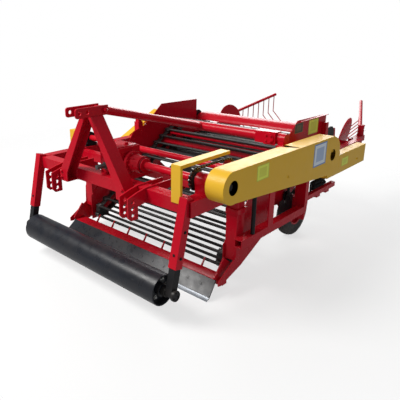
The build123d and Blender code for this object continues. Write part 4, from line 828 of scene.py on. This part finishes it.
def make_tyre(side, groove):
    """Ribbed implement tyre with raised rings on its walls."""
    box, rim = span("tyre_" + side), span("rim_" + side)
    outline = tyre_half(rim.size.z / 2, box.size.z / 2, box.size.x / 2, groove)
    whole = outline + [(radius, -across) for radius, across in outline[-2:0:-1]]
    centre = at_x(box.mid.x, rim.mid)
    bm = bmesh.new()
    spin_profile(bm, [centre + Vector((across, radius, 0)) for radius, across in whole], centre, X, 96)
    finish_piece("tyre_tread_" + side, bm, "tyre", "wheel_" + side, "tyre_" + side)


def make_rim_details(side):
    """Rolled rim edges and the valve."""
    rim, tyre, out = span("rim_" + side), span("tyre_" + side), OUTWARD[side]
    centre = at_x(tyre.mid.x, rim.mid)
    edge, face = rim.size.z / 2, tyre.size.x / 2 - 0.010
    bm = bmesh.new()
    for way in (-X, X):
        add_ring(bm, centre + way * face, way, 0.004, outer=edge + 0.006, inner=edge - 0.0065, segments=64)
    finish_piece("rim_flanges_" + side, bm, "red_paint", "wheel_" + side)
    bm = bmesh.new()
    valve, way = centre + Vector((out * 0.018, 0.060, 0.060)), Vector((out, 0.18, 0.18)).normalized()
    stem, cap_start = 0.020, 0.016
    add_cone(bm, valve, way, stem, r1=0.0042, r2=0.0032, segments=12)
    add_cone(bm, valve + way * cap_start, way, 0.010, r1=0.0050, segments=8)
    finish_piece("valve_" + side, bm, "black_paint", "wheel_" + side)


# ---- webs
def make_bar_tips(node):
    """Bright steel tips of a web's bars."""
    web = span(node)
    bm = bmesh.new()
    for end in end_centres(node):
        for way in (-X, X):
            tip = at_x(web.mid.x, end) + way * (web.size.x / 2 - 0.0015)
            add_cone(bm, tip, way, 0.0013, r1=0.0085, r2=0.0075, segments=16)
    finish_piece(node + "_tips", bm, "zinc")


def web_line(node):
    """Where a web's bars lie, with the outward direction and the web's own direction at each."""
    ends = end_centres(node)
    middle = sum(ends, Vector()) / len(ends)
    places = []
    for end in ends:
        near = sorted(ends, key=lambda other: (other - end).length)[1:3]
        along = (near[0] - near[1]).normalized()
        out = Vector((0, -along.z, along.y))
        places.append((end, out if out.dot(end - middle) >= 0 else -out, along))
    return places


def make_bar_clamps(node):
    """Saddles that hold each bar down on its belts, with their rivets."""
    middle_x, belt = span(node).mid.x, span("web_cross_members").size.x / 2 - 0.049
    base, hump = Vector((0.023, 0.026, 0.0030)), Vector((0.020, 0.0150, 0.0118))
    rivet_shift, rivet_seat = 0.0205, 0.0025
    saddles, steel = bmesh.new(), bmesh.new()
    for end, out, along in web_line(node):
        for way in (-1, 1):
            middle = at_x(middle_x + way * belt, end)
            place = Matrix.Translation(middle) @ Matrix((X, along, out)).transposed().to_4x4()
            add_block(saddles, (-base.x, -base.y, -0.0105), base, bevel=0.0025, place=place)
            add_block(saddles, (-hump.x, -hump.y, 0.0), hump, bevel=0.0035, place=place)
            for shift in (-rivet_shift, rivet_shift):
                spot = middle + along * shift + out * rivet_seat
                add_cone(steel, spot, out, 0.0045, r1=0.0062, r2=0.0046, segments=12)
    finish_piece(node + "_saddles", saddles, "rubber")
    finish_piece(node + "_rivets", steel, "chain_steel")


# ---- roller and gearbox
def make_roller_details():
    """Hub bolts and collars of the depth roller, and the rings and bolts of its axle's caps."""
    drum, axle = span("roller"), span("roller_axle")
    cap_angles = [turn * math.pi for turn in (0.5, 1.17, 1.83)]
    bolts, collars, caps = bmesh.new(), bmesh.new(), bmesh.new()
    disc_inset, hub_inset, cap_inset = 0.045, 0.0135, 0.0010
    for way in (-X, X):
        disc = drum.mid + way * (drum.size.x / 2 - disc_inset)
        hub = drum.mid + way * (drum.size.x / 2 - hub_inset)
        cap = axle.mid + way * (axle.size.x / 2 - cap_inset)
        bolt_circle(bolts, disc, way, reach=0.064, angles=spread(6), radius=0.008)
        add_ring(collars, disc, way, 0.004, outer=0.0955, inner=0.090, segments=64)
        add_ring(collars, hub, way, 0.006, outer=0.046, inner=0.0235, segments=40)
        add_ring(caps, cap, way, 0.0035, outer=0.034, inner=0.029, segments=40)
        bolt_circle(caps, cap + way * cap_inset, way, reach=0.022, angles=cap_angles, radius=0.0045)
    finish_piece("roller_bolts", bolts, "zinc", "roller")
    finish_piece("roller_collars", collars, "black_paint", "roller")
    finish_piece("axle_cap_bolts", caps, "black_paint", "roller_carrier")


def make_gearbox_ribs():
    """Cast ribs of the gearbox, its cover and the ring round its input."""
    box, pto = span("gearbox"), span("pto_stub").mid
    housing = Matrix.Translation(at_x(box.hi.x, DRIVE))
    foot = Vector((pto.x, box.lo.y, box.lo.z))
    top = Vector((pto.x, box.lo.y, box.hi.z))
    rib_low, rib_high = Vector((-0.105, -0.0035, 0.058)), Vector((-0.055, 0.0035, 0.067))
    fin_front, fin_rear, fin_half = 0.052, 0.228, Vector((0.004, 0, 0.005))
    cover_low, cover_high = Vector((-0.088, 0.054, -0.001)), Vector((0.088, 0.226, 0.006))
    neck = Vector((pto.x, box.lo.y + 0.030, pto.z))
    bm = bmesh.new()
    for angle in spread(8):
        add_block(bm, rib_low, rib_high, bevel=0.0015, place=housing @ Matrix.Rotation(angle, 4, "X"))
    for across in (-0.105, 0.105):
        for rise in (0.030, 0.186):
            front, rear = foot + Vector((across, fin_front, rise)), foot + Vector((across, fin_rear, rise))
            add_block(bm, front - fin_half, rear + fin_half, bevel=0.0015)
    add_block(bm, top + cover_low, top + cover_high, bevel=0.002)
    add_ring(bm, neck, -Y, 0.010, outer=0.0620, inner=0.0555, segments=48)
    finish_piece("gearbox_ribs", bm, "red_paint")


def make_splines():
    """Splined input shaft with its collar."""
    pto = span("pto_stub")
    root, tip, count, bevel = 0.0148, 0.01745, 24, 0.0015
    outline = []
    for index, angle in enumerate(spread(count, math.pi / count)):
        outline += circle((pto.mid.x, pto.lo.y, pto.mid.z), Y, tip if index % 4 < 2 else root, [angle])
    bm = bmesh.new()
    face = bm.faces.new([bm.verts.new(corner) for corner in outline])
    made = bmesh.ops.extrude_face_region(bm, geom=[face])["geom"]
    bmesh.ops.translate(bm, verts=new_verts(made), vec=Y * pto.size.y)
    bmesh.ops.bevel(bm, geom=list(face.edges), offset=bevel, segments=2, profile=0.5, affect="EDGES",
                    material=-1)
    collar = (pto.mid.x, pto.hi.y - 0.107, pto.mid.z)
    add_ring(bm, collar, Y, 0.010, outer=0.02545, inner=0.0140, segments=40)
    finish_piece("pto_splines", bm, "bare_steel", "pto", "pto_stub")


def make_gearbox_details():
    """Ribs, splined input and seal of the gearbox."""
    make_gearbox_ribs()
    make_splines()
    seal = at_x(span("gearbox").hi.x - 0.001, DRIVE)
    bm = bmesh.new()
    add_ring(bm, seal, X, 0.004, outer=0.0530, inner=0.0502, segments=40)
    finish_piece("gearbox_seal", bm, "black_paint")


# ---- tension springs
def add_spring(bm, start, end, radius, wire_r, turns):
    """Coil spring round a rod between two places."""
    axis = end - start
    steps = turns * 12
    first, coiled = 0.12, 0.76
    place = turned(axis, start) @ Matrix.Translation((radius, 0, axis.length * first))
    made = bmesh.ops.create_circle(bm, cap_ends=True, segments=8, radius=wire_r,
                                   matrix=place @ Matrix.Rotation(math.pi / 2, 4, "X"))["verts"]
    disc = made + list({edge for vert in made for edge in vert.link_edges}) + list(made[0].link_faces)
    bmesh.ops.spin(bm, geom=disc, cent=start, axis=axis, dvec=axis * (coiled / steps),
                   angle=FULL_TURN * turns, steps=steps)
    add_cone(bm, start, axis, axis.length, wire_r * 1.6, segments=12)


def make_tension_springs():
    """Springs along the rear rails that keep the rear web tight."""
    front, rear, inset, lug_half = 0.10, 0.34, 0.012, 0.012
    lug_low, lug_high = Vector((-0.005, -lug_half, -0.002)), Vector((0.005, lug_half, 0.086))
    bm = bmesh.new()
    for rail in solids("rear_rails"):
        inward = -1 if rail.mid.x > MIDDLE_X else 1
        foot = Vector((rail.mid.x + inward * inset, rail.lo.y, rail.hi.z))
        for rise in (0.026, 0.068):
            start, end = foot + Vector((0, front, rise)), foot + Vector((0, rear, rise))
            add_spring(bm, start, end, radius=0.016, wire_r=0.0036, turns=14)
            for spot in (start, end):
                add_bolt(bm, spot + Y * lug_half, Y, radius=0.009)
        for back in (front, rear):
            lug = foot + Y * back
            add_block(bm, lug + lug_low, lug + lug_high, bevel=0.003)
    finish_piece("tension_springs", bm, "black_paint")


# ---- welds
def make_welds(bead):
    """Painted weld beads where tubes and plates meet."""
    beam, mast, side = span("front_beam"), span("mast"), span("side_beams")
    head = mast.hi.z - 0.066
    post = [s for s in solids("frame_posts") if s.mid.x > MIDDLE_X][0]
    post_front, post_rear = post.lo.y + 0.012, post.hi.y - 0.012
    rail, plates, rail_top = solids("lower_rails")[0], span("side_plates"), span("rail_strut").lo.z
    brackets = [s for s in solids("lower_hitch_brackets") if s.mid.x > MIDDLE_X]
    upright = [beam.hi.x] + [x for plate in brackets for x in (plate.lo.x, plate.hi.x)]
    bm = bmesh.new()
    for x in upright + [mast.hi.x, mast.hi.x - 0.090]:
        add_weld(bm, (x, beam.lo.y, beam.lo.z), (x, beam.lo.y, beam.hi.z), bead)
    for x in upright:
        add_weld(bm, (x, beam.lo.y, beam.hi.z), (x, beam.hi.y, beam.hi.z), bead)
    for x in (MIDDLE_X + 0.045, MIDDLE_X + 0.057):
        add_weld(bm, (x, mast.lo.y + 0.126, head), (x, beam.lo.y - 0.002, head), bead)
    add_weld(bm, (side.hi.x, post_front, side.lo.z), (side.hi.x, post_rear, side.lo.z), bead)
    add_weld(bm, (side.hi.x - 0.09, post_front, side.lo.z), (side.hi.x, post_front, side.lo.z), bead)
    add_weld(bm, (plates.hi.x, rail.lo.y, rail_top), (plates.hi.x, plates.hi.y, rail_top), bead)
    for column in solids("rear_columns"):
        if column.mid.x > MIDDLE_X:
            spot = Vector((side.hi.x, column.lo.y, side.lo.z))
            add_weld(bm, spot, spot - X * 0.022, bead)
    mirrored_copy(bm)
    brace_r, tube = 0.030, span("cross_tube")
    add_weld_ring(bm, (MIDDLE_X, mast.hi.y - 0.001, mast.hi.z - 0.041), Y, brace_r, bead)
    add_weld_ring(bm, (MIDDLE_X, tube.lo.y + 0.022, tube.mid.z + 0.010), (0, 1, -0.25), brace_r, bead)
    finish_piece("weld_beads", bm, "red_paint")


# ---- plates, hood and guide details
def add_plate(bm, centre, width, height, thickness=0.0006):
    """Thin blank plate that faces +X, with a UV map over its whole face."""
    matrix = Matrix.Translation(centre) @ Matrix((Y, Z, X)).transposed().to_4x4()
    layer = bm.loops.layers.uv.verify()
    made = bmesh.ops.create_grid(bm, x_segments=1, y_segments=1, size=0.5,
                                 matrix=matrix @ Matrix.Diagonal((width, height, 1, 1)))
    face = made["verts"][0].link_faces[0]
    for loop in face.loops:
        shift = loop.vert.co - Vector(centre)
        loop[layer].uv = (shift.y / width + 0.5, shift.z / height + 0.5)
    solid = bmesh.ops.extrude_face_region(bm, geom=[face])["geom"]
    bmesh.ops.translate(bm, verts=new_verts(solid), vec=X * thickness)


def make_plates():
    """Blank labels on the chain cases and on the left side panel."""
    case, rear, panel = span("main_chain_case"), span("rear_chain_case"), span("side_panels")
    face, outside = case.hi.x - 0.0061, span("side_beams").hi.x - 0.0899
    post_y, panel_z = span("rear_posts").lo.y, panel.hi.z
    yellow = ((face, case.lo.y + 0.422, DRIVE.z + 0.030, 0.142, 0.102),
              (face, rear.lo.y + 0.121, rear.mid.z + 0.006, 0.130, 0.070),
              (outside, post_y - 0.164, panel_z - 0.085, 0.172, 0.126))
    blue = ((face, CASE_REAR.y - 0.307, CASE_REAR.z + 0.026, 0.206, 0.175),)
    dark = ((outside, post_y - 0.417, panel_z - 0.064, 0.134, 0.079),)
    for name, finish, places in (
            ("yellow_labels", "label_yellow", yellow), ("blue_label", "label_blue", blue),
            ("dark_label", "label_dark", dark)):
        bm = bmesh.new()
        for x, y, z, width, height in places:
            add_plate(bm, (x, y, z), width, height)
        finish_piece(name, bm, finish)


def make_hood_details():
    """Rolled lips on the hood."""
    hood = span("rear_hood")
    inset, lip_r = 0.01, 0.005
    bm = bmesh.new()
    for y, z in ((hood.lo.y + 0.004, hood.lo.z + 0.045), (hood.hi.y - 0.022, hood.hi.z - 0.010)):
        add_cone(bm, (hood.lo.x + inset, y, z), X, hood.size.x - 2 * inset, lip_r, segments=14)
    finish_piece("hood_lips", bm, "red_paint")


def make_guide_details(side):
    """Collars and grease nipple of a swath guide's sleeve."""
    out = X * OUTWARD[side]
    pivot = Vector(JOINTS["guide_" + side + "_swing"]["pos_m"])
    collars, nipple = bmesh.new(), bmesh.new()
    for rise in (-0.044, 0.050):
        add_ring(collars, pivot + Z * rise, Z, 0.008, outer=0.0335, inner=0.0295)
    sleeve_r, nut, nipple_rise = 0.029, 0.008, 0.010
    foot = pivot + out * sleeve_r + Z * nipple_rise
    add_cone(nipple, foot, out, nut, r1=0.0042, segments=6)
    add_cone(nipple, foot + out * nut, out, 0.007, r1=0.0028, r2=0.0018, segments=12)
    finish_piece("guide_collars_" + side, collars, "red_paint", "guide_" + side)
    finish_piece("guide_nipple_" + side, nipple, "zinc", "guide_" + side)


# ---- studio
def make_floor(colour):
    """Round pale floor that fades out into the white surroundings."""
    tree, shader = new_material("studio_floor")
    place = object_coordinates(tree)
    solid_to, gone_at, strength, radius = 2.0, 5.5, 0.34, 8.0
    distance = add(tree, "VectorMath", {0: place}, "Value", operation="LENGTH")
    cloud = product(tree, noise(tree, place, 1.3, 2.0), 0.10)
    wire(tree, shader, {
        "Base Color": mix_colour(tree, cloud, rgba(colour), rgba(colour, 0.90)),
        "Roughness": 0.85,
        "Alpha": product(tree, band_of(tree, distance, gone_at, solid_to), strength)})
    bm = bmesh.new()
    bmesh.ops.create_circle(bm, cap_ends=True, segments=96, radius=radius)
    floor = new_object("studio_floor", bm, "studio_floor")


def make_world(strength):
    """Plain surroundings: white to the camera, softer and cooler as light."""
    world = bpy.data.worlds.new("studio")
    world.use_nodes = True
    tree = world.node_tree
    tree.nodes.clear()
    rays = tree.nodes.new("ShaderNodeLightPath").outputs
    seen = math_node(tree, "MAXIMUM", rays["Is Camera Ray"], rays["Is Transmission Ray"])
    white = add(tree, "Background", {"Color": (1, 1, 1, 1), "Strength": 1.0})
    soft = add(tree, "Background", {"Color": (0.93, 0.96, 1.0, 1), "Strength": strength})
    mix = add(tree, "MixShader", {0: seen, 1: soft, 2: white})
    wire(tree, tree.nodes.new("ShaderNodeOutputWorld"), {"Surface": mix})
    bpy.context.scene.world = world


def add_lamp(name, place, height, size, power, colour=(1, 1, 1)):
    """Round lamp that points at a height on the machine's middle and isn't seen itself."""
    lamp = bpy.data.lights.new(name, "AREA")
    lamp.shape = "DISK"
    lamp.size = size
    lamp.energy = power
    lamp.color = colour
    obj = bpy.data.objects.new(name, lamp)
    aim = (Z * height - Vector(place)).to_track_quat("-Z", "Y")
    obj.matrix_world = Matrix.Translation(place) @ aim.to_matrix().to_4x4()
    obj.visible_camera = False
    bpy.context.scene.collection.objects.link(obj)


def make_camera():
    """Camera at the left front of the machine, a little above it."""
    place = (2.3645, -3.449, 1.710)
    yaw, pitch, roll = math.radians(45.09), math.radians(17.96), math.radians(-0.89)
    lens = bpy.data.cameras.new("camera")
    lens.lens = 40.545
    lens.shift_x = 0.1265
    lens.shift_y = -0.045
    camera = bpy.data.objects.new("camera", lens)
    level = Matrix.Translation(place) @ Matrix.Rotation(yaw, 4, "Z")
    tilted = level @ Matrix.Rotation(math.pi / 2 - pitch, 4, "X")
    camera.matrix_world = tilted @ Matrix.Rotation(roll, 4, "Z")
    bpy.context.scene.collection.objects.link(camera)
    bpy.context.scene.camera = camera


# ---- operators
class HARVESTER_OT_paint(bpy.types.Operator):
    """Make the finishes and put them on the frame's parts"""

    bl_idname = "harvester.paint"
    bl_label = "Paint the frame"

    def execute(self, context):
        make_materials(context.scene.harvester_paint)
        dress_cad(context.scene.harvester_sizes.edge)
        two_tone_parts()
        return {"FINISHED"}


class HARVESTER_OT_fasteners(bpy.types.Operator):
    """Add the bolts and screws"""

    bl_idname = "harvester.fasteners"
    bl_label = "Add bolts and screws"

    def execute(self, context):
        make_fasteners(context.scene.harvester_sizes.bolt)
        return {"FINISHED"}


class HARVESTER_OT_chains(bpy.types.Operator):
    """Add the roller chains and the teeth of their wheels"""

    bl_idname = "harvester.chains"
    bl_label = "Add roller chains"

    def execute(self, context):
        make_chains(context.scene.harvester_sizes.chain_pitch)
        return {"FINISHED"}


class HARVESTER_OT_wheels(bpy.types.Operator):
    """Add tyres with tread, rim flanges and valves"""

    bl_idname = "harvester.wheels"
    bl_label = "Add tyres"

    def execute(self, context):
        for side in OUTWARD:
            make_tyre(side, context.scene.harvester_sizes.groove)
            make_rim_details(side)
        return {"FINISHED"}


class HARVESTER_OT_webs(bpy.types.Operator):
    """Add bar tips, saddles and their rivets to the rod webs"""

    bl_idname = "harvester.webs"
    bl_label = "Add web fittings"

    def execute(self, context):
        for node in ("front_web", "rear_web"):
            make_bar_tips(node)
            make_bar_clamps(node)
        return {"FINISHED"}


class HARVESTER_OT_roller(bpy.types.Operator):
    """Add the depth roller's end fittings"""

    bl_idname = "harvester.roller"
    bl_label = "Add roller fittings"

    def execute(self, context):
        make_roller_details()
        return {"FINISHED"}


class HARVESTER_OT_gearbox(bpy.types.Operator):
    """Add the gearbox ribs and the splined input"""

    bl_idname = "harvester.gearbox"
    bl_label = "Add gearbox details"

    def execute(self, context):
        make_gearbox_details()
        return {"FINISHED"}


class HARVESTER_OT_springs(bpy.types.Operator):
    """Add the rear web's tension springs"""

    bl_idname = "harvester.springs"
    bl_label = "Add tension springs"

    def execute(self, context):
        make_tension_springs()
        return {"FINISHED"}


class HARVESTER_OT_welds(bpy.types.Operator):
    """Add the weld beads"""

    bl_idname = "harvester.welds"
    bl_label = "Add weld beads"

    def execute(self, context):
        make_welds(context.scene.harvester_sizes.weld)
        return {"FINISHED"}


class HARVESTER_OT_trim(bpy.types.Operator):
    """Add blank plates, hood lips and guide fittings"""

    bl_idname = "harvester.trim"
    bl_label = "Add plates and trim"

    def execute(self, context):
        make_plates()
        make_hood_details()
        for side in OUTWARD:
            make_guide_details(side)
        return {"FINISHED"}


class HARVESTER_OT_studio(bpy.types.Operator):
    """Set up the floor, lamps, surroundings and camera"""

    bl_idname = "harvester.studio"
    bl_label = "Set up the studio"

    def execute(self, context):
        stage = context.scene.harvester_stage
        make_floor(stage.floor)
        make_world(stage.sky)
        add_lamp("key", (-2.6, -4.6, 5.6), 0.5, 3.4, stage.key, (1.0, 0.985, 0.96))
        add_lamp("fill", (4.6, -2.6, 2.6), 0.6, 3.0, stage.fill, (0.94, 0.97, 1.0))
        add_lamp("sheen", (-2.5, 4.7, 3.0), 0.6, 4.6, stage.sheen)
        make_camera()
        bpy.context.scene.view_settings.view_transform = "Standard"
        return {"FINISHED"}


class HARVESTER_PT_panel(bpy.types.Panel):
    """Sizes, colours and steps of the harvester"""

    bl_idname = "HARVESTER_PT_panel"
    bl_label = "Potato harvester"
    bl_space_type = "VIEW_3D"
    bl_region_type = "UI"
    bl_category = "Harvester"

    def draw(self, context):
        scene = context.scene
        for group in (scene.harvester_paint, scene.harvester_sizes, scene.harvester_stage):
            box = self.layout.box()
            for name in group.__annotations__:
                box.prop(group, name)
        for step in STEPS:
            self.layout.operator(step.bl_idname)


STEPS = (
    HARVESTER_OT_paint, HARVESTER_OT_fasteners, HARVESTER_OT_chains, HARVESTER_OT_wheels,
    HARVESTER_OT_webs, HARVESTER_OT_roller, HARVESTER_OT_gearbox, HARVESTER_OT_springs,
    HARVESTER_OT_welds, HARVESTER_OT_trim, HARVESTER_OT_studio)
GROUP_TYPES = (HarvesterPaint, HarvesterSizes, HarvesterStage)


def register():
    for cls in GROUP_TYPES + STEPS + (HARVESTER_PT_panel,):
        bpy.utils.register_class(cls)
    bpy.types.Scene.harvester_paint = PointerProperty(type=HarvesterPaint)
    bpy.types.Scene.harvester_sizes = PointerProperty(type=HarvesterSizes)
    bpy.types.Scene.harvester_stage = PointerProperty(type=HarvesterStage)


def unregister():
    del bpy.types.Scene.harvester_paint
    del bpy.types.Scene.harvester_sizes
    del bpy.types.Scene.harvester_stage
    for cls in reversed(GROUP_TYPES + STEPS + (HARVESTER_PT_panel,)):
        bpy.utils.unregister_class(cls)


def main():
    register()
    bpy.ops.harvester.paint()
    bpy.ops.harvester.fasteners()
    bpy.ops.harvester.chains()
    bpy.ops.harvester.wheels()
    bpy.ops.harvester.webs()
    bpy.ops.harvester.roller()
    bpy.ops.harvester.gearbox()
    bpy.ops.harvester.springs()
    bpy.ops.harvester.welds()
    bpy.ops.harvester.trim()
    bpy.ops.harvester.studio()


if __name__ == "__main__":
    main()
